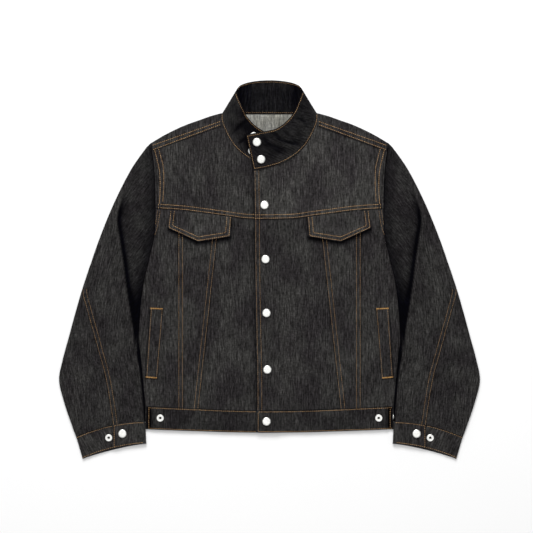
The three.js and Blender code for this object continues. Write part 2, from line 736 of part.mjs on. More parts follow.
// The cuff goes once round: from its lap on top, round the inner edge, along the floor,
// round the outer edge and back under the lap.
function cuffSection(row) {
  const width = Math.hypot(row.outerX - row.innerX, row.outerY - row.innerY);
  const turnSteps = 6;
  const section = [];
  const turn = (centre, radius, from, to) => {
    for (let step = 0; step <= turnSteps; step += 1) {
      const angle = mix(from, to, step / turnSteps);
      section.push({ off: centre + radius * Math.cos(angle), z: radius + radius * Math.sin(angle) });
    }
  };
  for (const share of [1, 2 / 3, 1 / 3]) section.push({ off: row.lap * share, z: cuffLapTop });
  turn(cuffInnerRoll, cuffInnerRoll, quarterTurn, 3 * quarterTurn);
  for (const share of [1 / 3, 2 / 3]) section.push({ off: width * share, z: 0 });
  turn(width - cuffOuterRoll, cuffOuterRoll, -quarterTurn, quarterTurn);
  section.push({ off: mix(width, row.lap, 0.5), z: cuffUnderTop });
  section.push({ off: row.lap, z: cuffUnderTop - cuffPress });
  section.push({ off: row.lap - cuffUnderlap, z: cuffUnderTop - cuffPress });
  return section.map(({ off, z }) => {
    const across = off / width;
    const x = mix(row.innerX, row.outerX, across);
    const y = mix(row.innerY, row.outerY, across) + row.bow * 4 * across * (1 - across);
    return new THREE.Vector3(x, y, z);
  });
}

function buildCuff(side) {
  const rows = unitSteps(cuffRows).map((down) => cuffSection(rowAt([cuff.seam, cuff.edge], down)));
  addPiece(`cuff_${side.name}`, forSide(side, clothWall(rows, cuffCloth, true)), denim);
}

// Lines across the collar from the neck seam to the top edge, from one end to the other
function collarLines() {
  const lines = [];
  const frontLine = (table, step, sign) => {
    const along = step / neckSteps;
    const neck = neckSeam.getPoint(along);
    const neckZ = columnAt(table, 'along', 'neckZ', along);
    const edge = ['x', 'y', 'z'].map((column) => columnAt(table, 'along', column, along));
    lines.push({
      neck: new THREE.Vector3(sign * neck.x, neck.y, neckZ),
      edge: new THREE.Vector3(sign * edge[0], edge[1], edge[2]),
    });
  };
  for (let step = 0; step <= neckSteps; step += 1) frontLine(collarOver, step, 1);
  const flipped = collarRound.map((row) => ({ ...row, neckX: -row.neckX, x: -row.x })).reverse();
  const round = [...collarRound, collarBack, ...flipped];
  for (let step = 0; step <= (round.length - 1) * 2; step += 1) {
    const row = rowAt(round, step / 2);
    lines.push({
      neck: new THREE.Vector3(row.neckX, row.neckY, Math.max(row.neckZ, 0)),
      edge: new THREE.Vector3(row.x, row.y, Math.max(row.z, 0)),
    });
  }
  for (let step = neckSteps; step >= underSteps; step -= 1) frontLine(collarUnder, step, -1);
  return lines;
}

const collarRows = collarLines().map(({ neck, edge }) => unitSteps(collarAcross).map((up) => {
  const point = neck.clone().lerp(edge, up);
  const standing = ramp(edge.z, collarStands.low, collarStands.high);
  point.z += collarBulge * standing * 4 * up * (1 - up);
  return point;
}));

// Height of a stretch of the collar's outer face above a place
function collarHeight(rows, x, y) {
  let nearest = Infinity;
  let height = 0;
  for (let i = 0; i < rows.length - 1; i += 1) {
    for (let j = 0; j < rows[i].length - 1; j += 1) {
      for (const [f, g] of [[0, 0], [0.5, 0.5], [0, 0.5], [0.5, 0]]) {
        const low = rows[i][j].clone().lerp(rows[i + 1][j], f);
        const high = rows[i][j + 1].clone().lerp(rows[i + 1][j + 1], f);
        const point = low.lerp(high, g);
        const gap = Math.hypot(point.x - x, point.y - y);
        if (gap < nearest) [nearest, height] = [gap, point.z];
      }
    }
  }
  return height;
}

// A pressed metal cap with a rounded rim and a low dome
function capGeometry(radius, height) {
  const profile = [
    [0, 0], [1, 0], [1, 0.36], [0.86, 0.72], [0.5, 0.95], [0, 1],
  ].map(([r, z]) => new THREE.Vector2(r * radius, z * height));
  return new THREE.LatheGeometry(profile, snapSides).rotateX(quarterTurn);
}

// A snap half with a hole in its middle
function ringGeometry() {
  const profile = [
    [ringHole, 0],
    [ringRadius, 0],
    [ringRadius - 0.5, ringHeight],
    [ringHole + 0.7, ringHeight],
    [ringHole, 0],
  ].map(([r, z]) => new THREE.Vector2(r, z));
  return new THREE.LatheGeometry(profile, snapSides).rotateX(quarterTurn);
}

function addSnap(name, geometry, x, y, z) {
  const bare = geometry.clone();
  bare.deleteAttribute('normal');
  bare.deleteAttribute('uv');
  const piece = new THREE.Mesh(mergeVertices(bare, 1e-4), new THREE.MeshStandardMaterial(steel));
  piece.name = name;
  piece.position.set(x, y, z);
  group.add(piece);
}

const lapSide = { name: 'left', sign: 1, laps: true };
const underSide = { name: 'right', sign: -1, laps: false };
const sides = [lapSide, underSide];

buildBack();
buildBackBand();
for (const side of sides) {
  buildFrontPanels(side);
  buildYoke(side);
  buildFlap(side);
  buildWelt(side);
  buildFrontBand(side);
  buildSleeve(side);
  buildCuff(side);
}
addPiece('collar', clothWall(collarRows, collarCloth), denim);

const cap = capGeometry(capRadius, capHeight);
const ring = ringGeometry();
frontSnaps.forEach(({ x, y }, number) => {
  addSnap(`front_snap_${number + 1}`, cap, x, y, frontHeight(lapSide, x, y) + seamGap);
});
addSnap('waist_snap', cap, waistSnap.x, waistSnap.y, bandHeight(lapSide, waistSnap.x) + seamGap);
const overRows = collarRows.slice(0, neckSteps);
const underRows = collarRows.slice(-neckSteps);
collarSnaps.forEach(({ x, y }, number) => {
  addSnap(`collar_snap_${number + 1}`, cap, x, y, collarHeight(overRows, x, y) + 3 * seamGap);
});
collarStuds.forEach(({ x, y }, number) => {
  addSnap(`collar_stud_${number + 1}`, ring, x, y, collarHeight(underRows, x, y) + 4 * seamGap);
});
for (const side of sides) {
  const { name, sign } = side;
  addSnap(`waist_ring_${name}`, ring, sign * waistRing.x, waistRing.y, bandTop + seamGap);
  addSnap(`cuff_snap_${name}`, cap, sign * cuffSnap.x, cuffSnap.y, cuffLapTop + seamGap);
  addSnap(`cuff_ring_${name}`, ring, sign * cuffRing.x, cuffRing.y, cuffUnderTop + seamGap);
}
const sideCap = capGeometry(sideSnap.radius, sideSnap.height).rotateY(quarterTurn);
addSnap('side_snap', sideCap, sideSnap.x, sideSnap.y, sideSnap.z);

export default group;
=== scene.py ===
import json
import math

import bmesh
import bpy
import numpy as np
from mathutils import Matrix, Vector
from mathutils.bvhtree import BVHTree

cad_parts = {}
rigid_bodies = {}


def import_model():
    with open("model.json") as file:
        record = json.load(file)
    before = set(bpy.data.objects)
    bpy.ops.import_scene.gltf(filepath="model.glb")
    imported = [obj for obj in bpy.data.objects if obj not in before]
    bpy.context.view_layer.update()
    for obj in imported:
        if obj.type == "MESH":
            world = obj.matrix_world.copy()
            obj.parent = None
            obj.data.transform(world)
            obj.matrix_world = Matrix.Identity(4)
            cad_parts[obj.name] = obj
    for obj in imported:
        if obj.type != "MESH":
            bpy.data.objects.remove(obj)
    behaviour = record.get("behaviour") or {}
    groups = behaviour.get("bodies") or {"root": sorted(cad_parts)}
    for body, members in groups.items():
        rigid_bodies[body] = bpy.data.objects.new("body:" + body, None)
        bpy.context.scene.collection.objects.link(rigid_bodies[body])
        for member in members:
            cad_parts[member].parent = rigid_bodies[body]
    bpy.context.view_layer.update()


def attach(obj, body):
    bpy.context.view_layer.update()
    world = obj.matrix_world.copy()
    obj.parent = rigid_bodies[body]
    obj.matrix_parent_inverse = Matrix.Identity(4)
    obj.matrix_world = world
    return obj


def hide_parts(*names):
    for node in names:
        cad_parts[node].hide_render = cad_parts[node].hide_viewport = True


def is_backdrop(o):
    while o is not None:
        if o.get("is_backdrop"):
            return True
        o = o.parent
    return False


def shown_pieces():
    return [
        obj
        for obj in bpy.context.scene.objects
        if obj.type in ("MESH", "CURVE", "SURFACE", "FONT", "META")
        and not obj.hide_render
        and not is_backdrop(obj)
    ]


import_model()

# A raw black denim jacket with a stand collar, laid flat on a white floor and seen from above.
# Places are in millimetres, as in the frame, and become metres when a mesh is made.
# Each side of the jacket has its own x, measured outwards from the centre, and sign turns it back.
mm = 0.001
scene = bpy.context.scene
# each side's yoke is drawn a little paler as painted light, since light falls a little differently on each
sides = [
    {"name": "left", "sign": 1, "laps": True, "seed": 11, "paintedYokeLight": -0.2},
    {"name": "right", "sign": -1, "laps": False, "seed": 47, "paintedYokeLight": -0.36},
]


def ramp(value, low, high):
    f = np.clip((value - low) / (high - low), 0, 1)
    return f * f * (3 - 2 * f)


def mix(a, b, f):
    return a + (b - a) * f


def curveOf(keys, values):
    # a smooth curve through a short table, as a function
    k, v = np.array(keys, float), np.array(values, float)
    order = np.argsort(k)
    k, v = k[order], v[order]
    last = len(k) - 1
    before, after = np.maximum(np.arange(last + 1) - 1, 0), np.minimum(np.arange(last + 1) + 1, last)
    slope = (v[after] - v[before]) / (k[after] - k[before])

    def at(place):
        place = np.clip(place, k[0], k[-1])
        i = np.clip(np.searchsorted(k, place) - 1, 0, last - 1)
        span = k[i + 1] - k[i]
        f = (place - k[i]) / span
        rise = v[i + 1] - v[i]
        start, end = slope[i] * span - rise, slope[i + 1] * span - rise
        return v[i] + rise * f + f * (1 - f) * (start * (1 - f) - end * f)

    return at


def columnsOf(names, rows):
    # a curve for every column of a table, by row number
    numbers = np.arange(len(rows))
    return {name: curveOf(numbers, [row[n] for row in rows]) for n, name in enumerate(names)}


def softNoise(x, y, size, seed):
    # smooth bumps of about one size in millimetres, from -1 to 1
    table = np.random.default_rng(seed).random((64, 64)) * 2 - 1
    gx, gy = np.broadcast_arrays(np.asarray(x, float) / size, np.asarray(y, float) / size)
    ix, iy = np.floor(gx).astype(int), np.floor(gy).astype(int)
    fx, fy = gx - ix, gy - iy
    fx, fy = fx * fx * (3 - 2 * fx), fy * fy * (3 - 2 * fy)
    near = mix(table[ix % 64, iy % 64], table[(ix + 1) % 64, iy % 64], fx)
    far = mix(table[ix % 64, (iy + 1) % 64], table[(ix + 1) % 64, (iy + 1) % 64], fx)
    return mix(near, far, fy)


def creases(rows, x, y):
    # soft ridges and troughs: start, end, width, height, sideways bow, and how steep the far side is
    total = np.zeros(np.shape(x))
    for fromX, fromY, toX, toY, width, height, bow, steep in rows:
        runX, runY = toX - fromX, toY - fromY
        length = math.hypot(runX, runY)
        s = np.clip(((x - fromX) * runX + (y - fromY) * runY) / length ** 2, 0, 1)
        awayX, awayY = x - fromX - runX * s, y - fromY - runY * s
        off = (awayY * runX - awayX * runY) / length - bow * 4 * s * (1 - s)
        past = np.hypot(awayX, awayY)
        off = np.where((s == 0) | (s == 1), np.maximum(past, abs(off)), off)
        reach = np.where(off > 0, width, width * steep)
        total += height * np.sin(np.pi * np.clip(s, 0.04, 0.96)) ** 0.7 * np.exp(-(off / reach) ** 2)
    return total


def pucker(along, off, seed, height=0.3, size=5.0, reach=9.0):
    # sewing draws the cloth in, so it ripples beside a seam
    return height * softNoise(along, along * 0, size, seed) * np.exp(-(off / reach) ** 2)


print("shapes: curves and folds ready")

# Seams and edges of the body, as x and y on one side
bodyEdge = curveOf(
    (250, 205, 140, 88, 60, 33, 3, -22, -72, -130, -150, -168, -200, -240, -300),
    (237.5, 231, 228, 228, 231, 237, 244, 250, 257, 261, 261, 258, 255, 251, 246.5),
)
lapEdge = curveOf((200, 104, 40, -100, -208, -330), (-31.3, -29.8, -29.6, -27.6, -25.4, -25))
yokeSeam = curveOf((-32, 48, 81, 128, 174, 232), (99.6, 101.3, 105.8, 112.2, 117.8, 121.6))
hemSeam = curveOf((-32, 60, 150, 250), (-284.2, -283.4, -280, -275.5))
hemEdge = curveOf((-32, 60, 150, 250), (-327.4, -326.8, -324.2, -320.4))
neckLine = columnsOf("xy", [
    (-31.4, 197.2), (-9, 201.2), (17.6, 208.6), (39.4, 219.2),
    (61, 234.6), (76, 252.4), (87.6, 273.6), (95, 292),
])
shoulderFold = columnsOf("xy", [
    (98.4, 311.4), (119, 305.5), (140, 298), (164, 289.6), (188, 279.2), (213, 266.4), (237, 252),
])
body = {
    "armpit": 60,
    "shoulderNeck": (98.4, 285.4), "shoulderArm": (234.2, 236),
    "middleInner": (100, 142), "middleOuter": (183, 183),     # x at the yoke and at the hem
    "yokeLine": 104, "hemLine": -282,
    "cloth": 1.4, "level": 5.2, "floorEdge": 1.0, "sideRoll": 6.0,
    "lapLift": 2.0, "lapEnd": 12.0, "lapFade": 16.0, "underLap": -5.0,
    "fell": 0.9, "fellWidth": 10.5,       # a felled seam stands up between its two rows of stitches
    "tuck": 6.0, "tuckDrop": 1.9,         # the layer below runs on under the seam
    "sideTouch": 0.5,                     # the side and the sleeve lie against each other
    "shoulderRoll": 2.7, "backSeam": 309.4,
}
sewing = {
    "near": 1.7, "far": 9.0, "middle": 5.0,     # rows of stitches beside a folded edge
    "edgeRow": 2.2,                             # a single row along a band, a cuff or the placket
    "groove": 0.28, "grooveWidth": 0.8,
    "pitch": 3.9, "share": 0.8,                 # from stitch to stitch, and the part of it that shows
    "width": 1.0, "height": 0.85, "lift": 0.12,
    "step": 4.0,                                # between the points that a row is drawn through
}
frontCreases = [
    # fromX, fromY, toX, toY, width, height, bow, steepness of the far side
    (214, 56, 150, -44, 20, 1.3, 6, 0.7),
    (240, -10, 190, -120, 17, 1.6, -8, 0.6),
    (250, -96, 206, -210, 15, 1.3, 6, 0.7),
    (60, 44, 84, -190, 26, 1.1, 8, 1.0),
    (28, -20, 44, -250, 18, 1.0, -6, 0.8),
    (206, -150, 176, -268, 18, 1.7, 5, 0.7),
    (118, -120, 96, -270, 17, 1.4, -5, 0.7),
    (64, -190, 50, -280, 14, 1.3, 3, 0.8),
    (150, -50, 158, -220, 15, 0.9, 4, 1.0),
    (110, 258, 60, 160, 20, 1.1, 5, 0.8),
    (206, 222, 160, 150, 18, 1.1, -5, 0.8),
    (150, 232, 120, 140, 16, 0.8, 3, 0.8),
    (30, 192, 24, 120, 14, 0.8, 2, 0.8),
    (226, -228, 196, -262, 9, 1.2, 3, 0.8),
    (236, -160, 214, -236, 9, 1.0, -3, 0.8),
]


def panelSeam(name, y):
    atYoke, atHem = body[name]
    return mix(atHem, atYoke, (y - body["hemLine"]) / (body["yokeLine"] - body["hemLine"]))


def centreEdge(side, y):
    return lapEdge(y) if side["laps"] else body["underLap"] + 0 * np.asarray(y, float)


def groove(off):
    # thread pulls the cloth down along a row of stitches
    return -sewing["groove"] * np.exp(-(off / sewing["grooveWidth"]) ** 2)


def rounded(off, size=0.9, depth=0.7):
    return -depth * (1 - np.clip(off / size, 0, 1)) ** 2


def felled(off):
    rise = body["fell"] * (1 - ramp(off, body["fellWidth"], body["fellWidth"] + 3))
    return rise + rounded(off) + groove(off - sewing["near"]) + groove(off - sewing["far"])


def tucked(past):
    # past is how far a point lies beyond the edge that covers it
    return -body["tuckDrop"] * ramp(past, -1.4, 1.4)


def frontLoose(side, x, y):
    return creases(frontCreases, x, y) + 0.55 * softNoise(x, y, 44, side["seed"])


def frontHeight(side, x, y):
    x, y = np.asarray(x, float), np.asarray(y, float)
    seed = side["seed"]
    touch = body["sideTouch"] * (1 - ramp(y, 40, 60))
    fromEdge = np.clip((bodyEdge(y) + touch - x) / body["sideRoll"], 0, 1)
    rolled = np.sqrt(1 - (1 - fromEdge) ** 2)
    turns = 1 - ramp(y, body["armpit"] - 20, body["armpit"] + 14)
    height = mix(body["level"], mix(body["floorEdge"], body["level"], rolled), turns)
    loose = frontLoose(side, x, y) + 0.2 * softNoise(x, y, 15, seed + 1)
    inner, outer = x - panelSeam("middleInner", y), panelSeam("middleOuter", y) - x
    for n, (along, off) in enumerate([(y, inner), (y, outer), (x, y - yokeSeam(x))]):
        loose = loose + pucker(along, off - sewing["middle"], seed + 2 + n)
    loose = loose + pucker(x, y - hemSeam(x), seed + 5, 0.6, 7.0, 15.0)
    loose = loose + pucker(y, bodyEdge(y) - x - 10, seed + 6, 0.4) * ramp(y, 50, 90)
    height = height + loose * mix(1, ramp(fromEdge, 0, 1), turns)
    if side["laps"]:
        height = height + body["lapLift"] * (1 - ramp(x, body["lapEnd"], body["lapEnd"] + body["lapFade"]))
        height = height + pucker(y, x - lapEdge(y) - sewing["middle"], seed + 7)
    return height


# Rows and columns of a grid: a share of the way across, and an offset in millimetres from that
# place. They crowd where an edge is rounded, at the rows of stitches, and where cloth is tucked.
edges = {
    "felled": (0, 0.4, 1.0, 1.7, 2.6, 5.0, 7.8, 9.0, 10.4, 12.0, 13.6),
    "tucked": (0, 3.0, 4.8, 5.6, 6.4, 7.4, 9.0),
    "rolled": (0, 0.15, 0.5, 1.1, 2.0, 3.2, 4.6, 6.2),
    "plain": (0, 0.4, 1.0, 1.7, 2.6),
    "hidden": (0,),
}
cell = 2.8


def spotsAcross(start, end, size, spacing=cell):
    near, far = edges[start], edges[end]
    count = max(int((size - near[-1] - far[-1]) / spacing), 2)
    inner = np.linspace(0, 1, count + 1)
    spots = [(0, off) for off in near[:-1]]
    spots += [(f, mix(near[-1], -far[-1], f)) for f in inner]
    spots += [(1, -off) for off in far[:-1][::-1]]
    return np.array(spots)


def evenly(shares):
    # spots at plain shares of the way, with no offsets
    return np.stack([shares, 0 * shares], axis=1)


def between(a, b, spot):
    return a + (b - a) * spot[0] + spot[1]


def newObject(name, mesh, materials, nodes=()):
    mesh.shade_smooth()
    for material in materials:
        mesh.materials.append(material)
    piece = bpy.data.objects.new(name, mesh)
    scene.collection.objects.link(piece)
    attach(piece, "root")
    if nodes:
        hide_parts(*nodes)
    return piece


def clothGrid(name, across, along, place, sign=1, flip=False):
    # a grid whose points are put in place by a function: x, y, height, grain across, grain along, shade
    bm = bmesh.new()
    wide, long = len(across) - 1, len(along) - 1
    bmesh.ops.create_grid(bm, x_segments=wide, y_segments=long, size=0.5)
    mesh = bpy.data.meshes.new(name)
    bm.to_mesh(mesh)
    bm.free()
    count = len(mesh.vertices)
    spots = np.empty(count * 3, np.float32)
    mesh.vertices.foreach_get("co", spots)
    spots = spots.reshape(-1, 3)
    i = np.rint((spots[:, 0] + 0.5) * wide).astype(int)
    j = np.rint((spots[:, 1] + 0.5) * long).astype(int)
    x, y, z, weft, warp, shade = place(across[i].T, along[j].T)
    points = np.stack([sign * x, y, z], axis=1) * mm
    mesh.vertices.foreach_set("co", points.astype(np.float32).ravel())
    corners = np.empty(len(mesh.loops), np.int32)
    mesh.loops.foreach_get("vertex_index", corners)
    # each side has a stretch of cloth of its own, so that the two aren't mirror images
    weft, warp = sign * weft * np.ones(count), (warp - sign * 1000) * np.ones(count)
    flat = np.stack([weft, warp], axis=1)[corners] * mm
    grain = mesh.uv_layers.new(name="grain")
    grain.data.foreach_set("uv", flat.astype(np.float32).ravel())
    shades = mesh.attributes.new("shade", "FLOAT", "POINT")
    shades.data.foreach_set("value", (shade * np.ones(count)).astype(np.float32))
    if (sign < 0) != flip:
        mesh.flip_normals()
    mesh.update()
    return mesh


def joinMeshes(name, meshes):
    bm = bmesh.new()
    for mesh in meshes:
        bm.from_mesh(mesh)
    joined = bpy.data.meshes.new(name)
    bm.to_mesh(joined)
    bm.free()
    return joined


def clothPiece(name, mesh, settings, inner=None):
    # a mesh becomes a wall of cloth, with another material on its inner face when one is given
    piece = newObject("denim_" + name, mesh, [blackDenim, inner] if inner else [blackDenim], [name])
    wall = piece.modifiers.new("thickness", "SOLIDIFY")
    wall.thickness = settings.get("thickness", body["cloth"]) * mm
    wall.offset = -1
    wall.material_offset = 1 if inner else 0
    wall.material_offset_rim = 0


def layCloth(name, across, along, place, settings, side=None, flip=False):
    name, sign = (f"{name}_{side['name']}", side["sign"]) if side else (name, 1)
    mesh = clothGrid("denim_" + name, across, along, place, sign, flip)
    clothPiece(name, mesh, settings)


# Materials

def linear(hexColour):
    parts = [int(hexColour[i:i + 2], 16) / 255 for i in (1, 3, 5)]
    return [c / 12.92 if c <= 0.04045 else ((c + 0.055) / 1.055) ** 2.4 for c in parts] + [1]


def addNode(tree, kind, settings, inputs):
    # stops are the places and hex colours of a colour ramp
    node = tree.nodes.new(kind)
    for name, value in settings.items():
        if name == "stops":
            elements = node.color_ramp.elements
            while len(elements) < len(value):
                elements.new(0.5)
            for element, (place, colour) in zip(elements, value):
                element.position = place
                element.color = linear(colour)
        else:
            setattr(node, name, value)
    for socket, value in inputs.items():
        if isinstance(value, bpy.types.NodeSocket):
            tree.links.new(value, node.inputs[socket])
        else:
            node.inputs[socket].default_value = value
    return node


def newMaterial(name):
    material = bpy.data.materials.new(name)
    material.use_nodes = True
    material.node_tree.nodes.clear()
    return material, material.node_tree


def finishMaterial(tree, shader):
    surface = addNode(tree, "ShaderNodeBsdfPrincipled", {}, shader)
    addNode(tree, "ShaderNodeOutputMaterial", {}, {"Surface": surface.outputs["BSDF"]})


denimLook = {
    # uneven yarns in layers: millimetres wide and long, detail, shift, and share of the tone
    "yarns": [
        ((2.4, 22), 3.0, 0, 0.5), ((1.9, 6.0), 1.0, 3.1, 0.26),
        ((5.0, 90), 1.0, 7.7, 0.10), ((9, 2.2), 1.0, 11.3, 0.14),
    ],
    "drift": (55, 77),                              # slow changes of tone over the cloth
    "twill": 1.7,                                   # diagonal ribs, drawn coarser than the real 0.7
    "slubRelief": 1.4, "twillRelief": 0.35,
    "black": [
        (0.37, "#191919"), (0.455, "#272727"), (0.525, "#313131"), (0.605, "#3e3e3e"), (0.71, "#4f4f4f"),
    ],
    "blackDrift": [(0.35, "#fffcf7"), (0.65, "#d2cacd")],
    "grey": [
        (0.39, "#626260"), (0.465, "#747471"), (0.525, "#848480"), (0.60, "#969691"), (0.68, "#a8a8a2"),
    ],
    "greyDrift": [(0.35, "#ffffff"), (0.65, "#dedcd6")],
}


def patternNoise(tree, uv, size, detail, shift):
    # noise whose grain is so many millimetres wide and long on the cloth
    mapped = addNode(tree, "ShaderNodeMapping", {}, {
        "Vector": uv, "Scale": (1 / (size[0] * mm), 1 / (size[1] * mm), 1),
        "Location": (shift, shift * 1.7, 0),
    })
    noise = addNode(tree, "ShaderNodeTexNoise", {"noise_dimensions": "2D"}, {
        "Vector": mapped.outputs["Vector"], "Scale": 1.0, "Detail": detail, "Roughness": 0.55,
    })
    return noise.outputs["Fac"]


def rawDenim(name, stops, driftStops):
    # raw denim, warp-faced twill of dyed slub yarn: matt, with pale streaks along the warp
    material, tree = newMaterial(name)
    uv = addNode(tree, "ShaderNodeUVMap", {"uv_map": "grain"}, {}).outputs["UV"]
    yarns = [patternNoise(tree, uv, size, detail, shift) for size, detail, shift, share in denimLook["yarns"]]
    streaks = 0.0
    for yarn, (size, detail, shift, share) in zip(yarns, denimLook["yarns"]):
        streaks = addNode(tree, "ShaderNodeMath", {"operation": "MULTIPLY_ADD"}, {
            0: yarn, 1: share, 2: streaks,
        }).outputs[0]
    colour = addNode(tree, "ShaderNodeValToRGB", {"stops": stops}, {"Fac": streaks}).outputs["Color"]
    drift = patternNoise(tree, uv, denimLook["drift"], 2.0, 19.9)
    tint = addNode(tree, "ShaderNodeValToRGB", {"stops": driftStops}, {"Fac": drift}).outputs["Color"]
    tinted = addNode(tree, "ShaderNodeMix", {"data_type": "RGBA", "blend_type": "MULTIPLY"}, {
        0: 1.0, 6: colour, 7: tint,
    }).outputs[2]
    # shade is painted shade: 1 where the cloth lies deep in a fold, a little bluer in the deepest, and below
    # 0 where the colour is drawn paler, as painted highlights on ridges and lit parts and as paler panels and
    # seam strips
    shade = addNode(tree, "ShaderNodeAttribute", {"attribute_name": "shade"}, {}).outputs["Fac"]
    shown = addNode(tree, "ShaderNodeVectorMath", {"operation": "MULTIPLY_ADD"}, {
        0: shade, 1: (-0.98, -0.98, -0.94), 2: (1, 1, 1),
    }).outputs[0]
    shaded = addNode(tree, "ShaderNodeVectorMath", {"operation": "MULTIPLY"}, {0: tinted, 1: shown})
    turned = addNode(tree, "ShaderNodeMapping", {}, {
        "Vector": uv, "Rotation": (0, 0, math.radians(-52)), "Scale": (1 / mm, 1 / mm, 1),
    })
    twill = addNode(tree, "ShaderNodeTexWave", {"wave_type": "BANDS", "bands_direction": "X"}, {
        "Vector": turned.outputs["Vector"], "Scale": math.pi / 10 / denimLook["twill"],
        "Distortion": 1.4, "Detail": 1.0,
    }).outputs["Fac"]
    ribs = addNode(tree, "ShaderNodeMath", {"operation": "MULTIPLY"}, {
        0: twill, 1: denimLook["twillRelief"],
    }).outputs[0]
    relief = addNode(tree, "ShaderNodeMath", {"operation": "MULTIPLY_ADD"}, {
        0: yarns[0], 1: denimLook["slubRelief"], 2: ribs,
    }).outputs[0]
    bump = addNode(tree, "ShaderNodeBump", {}, {"Height": relief, "Strength": 0.55, "Distance": 0.5 * mm})
    finishMaterial(tree, {
        "Base Color": shaded.outputs[0], "Normal": bump.outputs["Normal"],
        "Roughness": 0.92, "Specular IOR Level": 0.025,
        "Sheen Weight": 0.01, "Sheen Roughness": 0.6, "Sheen Tint": linear("#c9c9cc"),
    })
    return material


def sewingThread(name, light, dark):
    # polyester-wrapped cotton thread, spun: a soft gloss and small changes of tone from stitch to stitch
    material, tree = newMaterial(name)
    place = addNode(tree, "ShaderNodeTexCoord", {}, {}).outputs["Object"]
    change = addNode(tree, "ShaderNodeTexNoise", {}, {"Vector": place, "Scale": 1 / (7 * mm), "Detail": 2.0})
    colour = addNode(tree, "ShaderNodeValToRGB", {"stops": [(0.36, dark), (0.64, light)]}, {
        "Fac": change.outputs["Fac"],
    })
    twist = addNode(tree, "ShaderNodeTexNoise", {}, {"Vector": place, "Scale": 1 / (0.4 * mm)})
    bump = addNode(tree, "ShaderNodeBump", {}, {
        "Height": twist.outputs["Fac"], "Strength": 0.4, "Distance": 0.1 * mm,
    })
    finishMaterial(tree, {
        "Base Color": colour.outputs["Color"], "Normal": bump.outputs["Normal"],
        "Roughness": 0.55, "Specular IOR Level": 0.35,
    })
    return material


def polishedNickel(name, dull, bright, roughness):
    # brass pressed and nickel plated: a bright, slightly clouded mirror
    material, tree = newMaterial(name)
    place = addNode(tree, "ShaderNodeTexCoord", {}, {}).outputs["Object"]
    cloud = addNode(tree, "ShaderNodeTexNoise", {}, {
        "Vector": place, "Scale": 1 / (2.5 * mm), "Detail": 3.0,
    }).outputs["Fac"]
    gloss = addNode(tree, "ShaderNodeMapRange", {}, {
        "Value": cloud, "From Min": 0.3, "From Max": 0.7, "To Min": roughness, "To Max": roughness + 0.12,
    })
    shine = addNode(tree, "ShaderNodeValToRGB", {"stops": [(0.3, dull), (0.7, bright)]}, {"Fac": cloud})
    finishMaterial(tree, {
        "Base Color": shine.outputs["Color"], "Roughness": gloss.outputs["Result"], "Metallic": 1.0,
    })
    return material


blackDenim = rawDenim("raw black denim, warp face", denimLook["black"], denimLook["blackDrift"])
greyDenim = rawDenim("raw denim, undyed weft face", denimLook["grey"], denimLook["greyDrift"])
tanThread = sewingThread("tan topstitching thread, spun", "#c09868", "#8a683f")
orangeThread = sewingThread("orange bar tack thread, spun", "#d2a25c", "#a87a3c")
nickel = polishedNickel("polished nickel plate, pressed snap cap", "#cfcfcc", "#f4f4f0", 0.3)
print("materials: denim, thread and nickel")


# Front panels, from the hem seam up to the yoke seam

def coverDrop(*pasts):
    return np.minimum.reduce([tucked(past) for past in pasts])


flapShape = {
    "topInner": (76, 104.2), "topOuter": (199, 117.2),
    "lowerInner": (78.8, 65), "point": (142.6, 54.8), "lowerOuter": (202.4, 82),
    "width": 124, "height": 46, "length": 48,
    "thickness": 1.8, "lift": 2.3, "curl": 2.2, "tone": -0.14,
    "flat": (0.127, 0.058), "area": 0.0056,
    "footShade": 0.98, "footReach": 14.0, "sideShade": 0.7, "sideReach": 9.0,
}


def flapFoot(x):
    # y of the flap's lower edge
    corners = [flapShape[name] for name in ("lowerInner", "point", "lowerOuter")]
    return np.interp(x, *zip(*corners))


def underFlap(x, y):
    # the cloth just below a flap and beside its inner edge lies in its shade
    shape = flapShape
    below = flapFoot(x) - y
    inside = ramp(x, 72, 78) * (1 - ramp(x, 202, 208)) * ramp(below, -4, 0)
    foot = shape["footShade"] * inside * (1 - np.clip(below / shape["footReach"], 0, 1) ** 1.5)
    edgeX = mix(shape["lowerInner"][0], shape["topInner"][0], ramp(y, 60, 108))
    beside = shape["sideShade"] * np.clip(1 - (edgeX - x) / shape["sideReach"], 0, 1) * (x < edgeX + 2)
    return np.maximum(foot, beside * ramp(y, 56, 66) * (1 - ramp(y, 98, 104)))


weltShape = {
    "topInner": (212.4, -78.6), "topOuter": (238, -77.6),
    "lowerInner": (223.8, -220), "lowerOuter": (247, -218),
    "width": 26, "face": 25, "length": 141, "row": 1.9, "standOff": 0.7,
    "thickness": 1.8, "lift": 2.1, "flat": (0.026, 0.142), "area": 0.0035,
    "sideShade": 0.7, "sideReach": 2.6,
}


def besideWelt(x, y):
    # the side panel in the shade of the welt's free edge
    low, top = weltShape["lowerOuter"], weltShape["topOuter"]
    edgeX = mix(low[0], top[0], np.clip((y - low[1]) / (top[1] - low[1]), 0, 1))
    shade = weltShape["sideShade"] * np.exp(-((x - edgeX) / weltShape["sideReach"]) ** 2)
    return shade * ramp(y, -224, -216) * (1 - ramp(y, -84, -78))


def seamShade(past, depth, width=1.8):
    # painted shade: a fine dark line where one piece dips under the edge of the next
    return depth * np.exp(-(np.clip(past, 0, None) / width) ** 2)


def creaseShade(loose):
    # painted shade in the troughs, and a painted highlight on the ridges
    return np.clip(-0.1 * loose, -0.2, 0.25)


def underLapShade(x, y):
    # the underlapping front lies in the shade of the placket's edge
    past = np.clip(x + lapEdge(y), 0, 99)
    return 0.62 * np.exp(-past / 6.0) + 0.3 * np.exp(-past / 1.5)


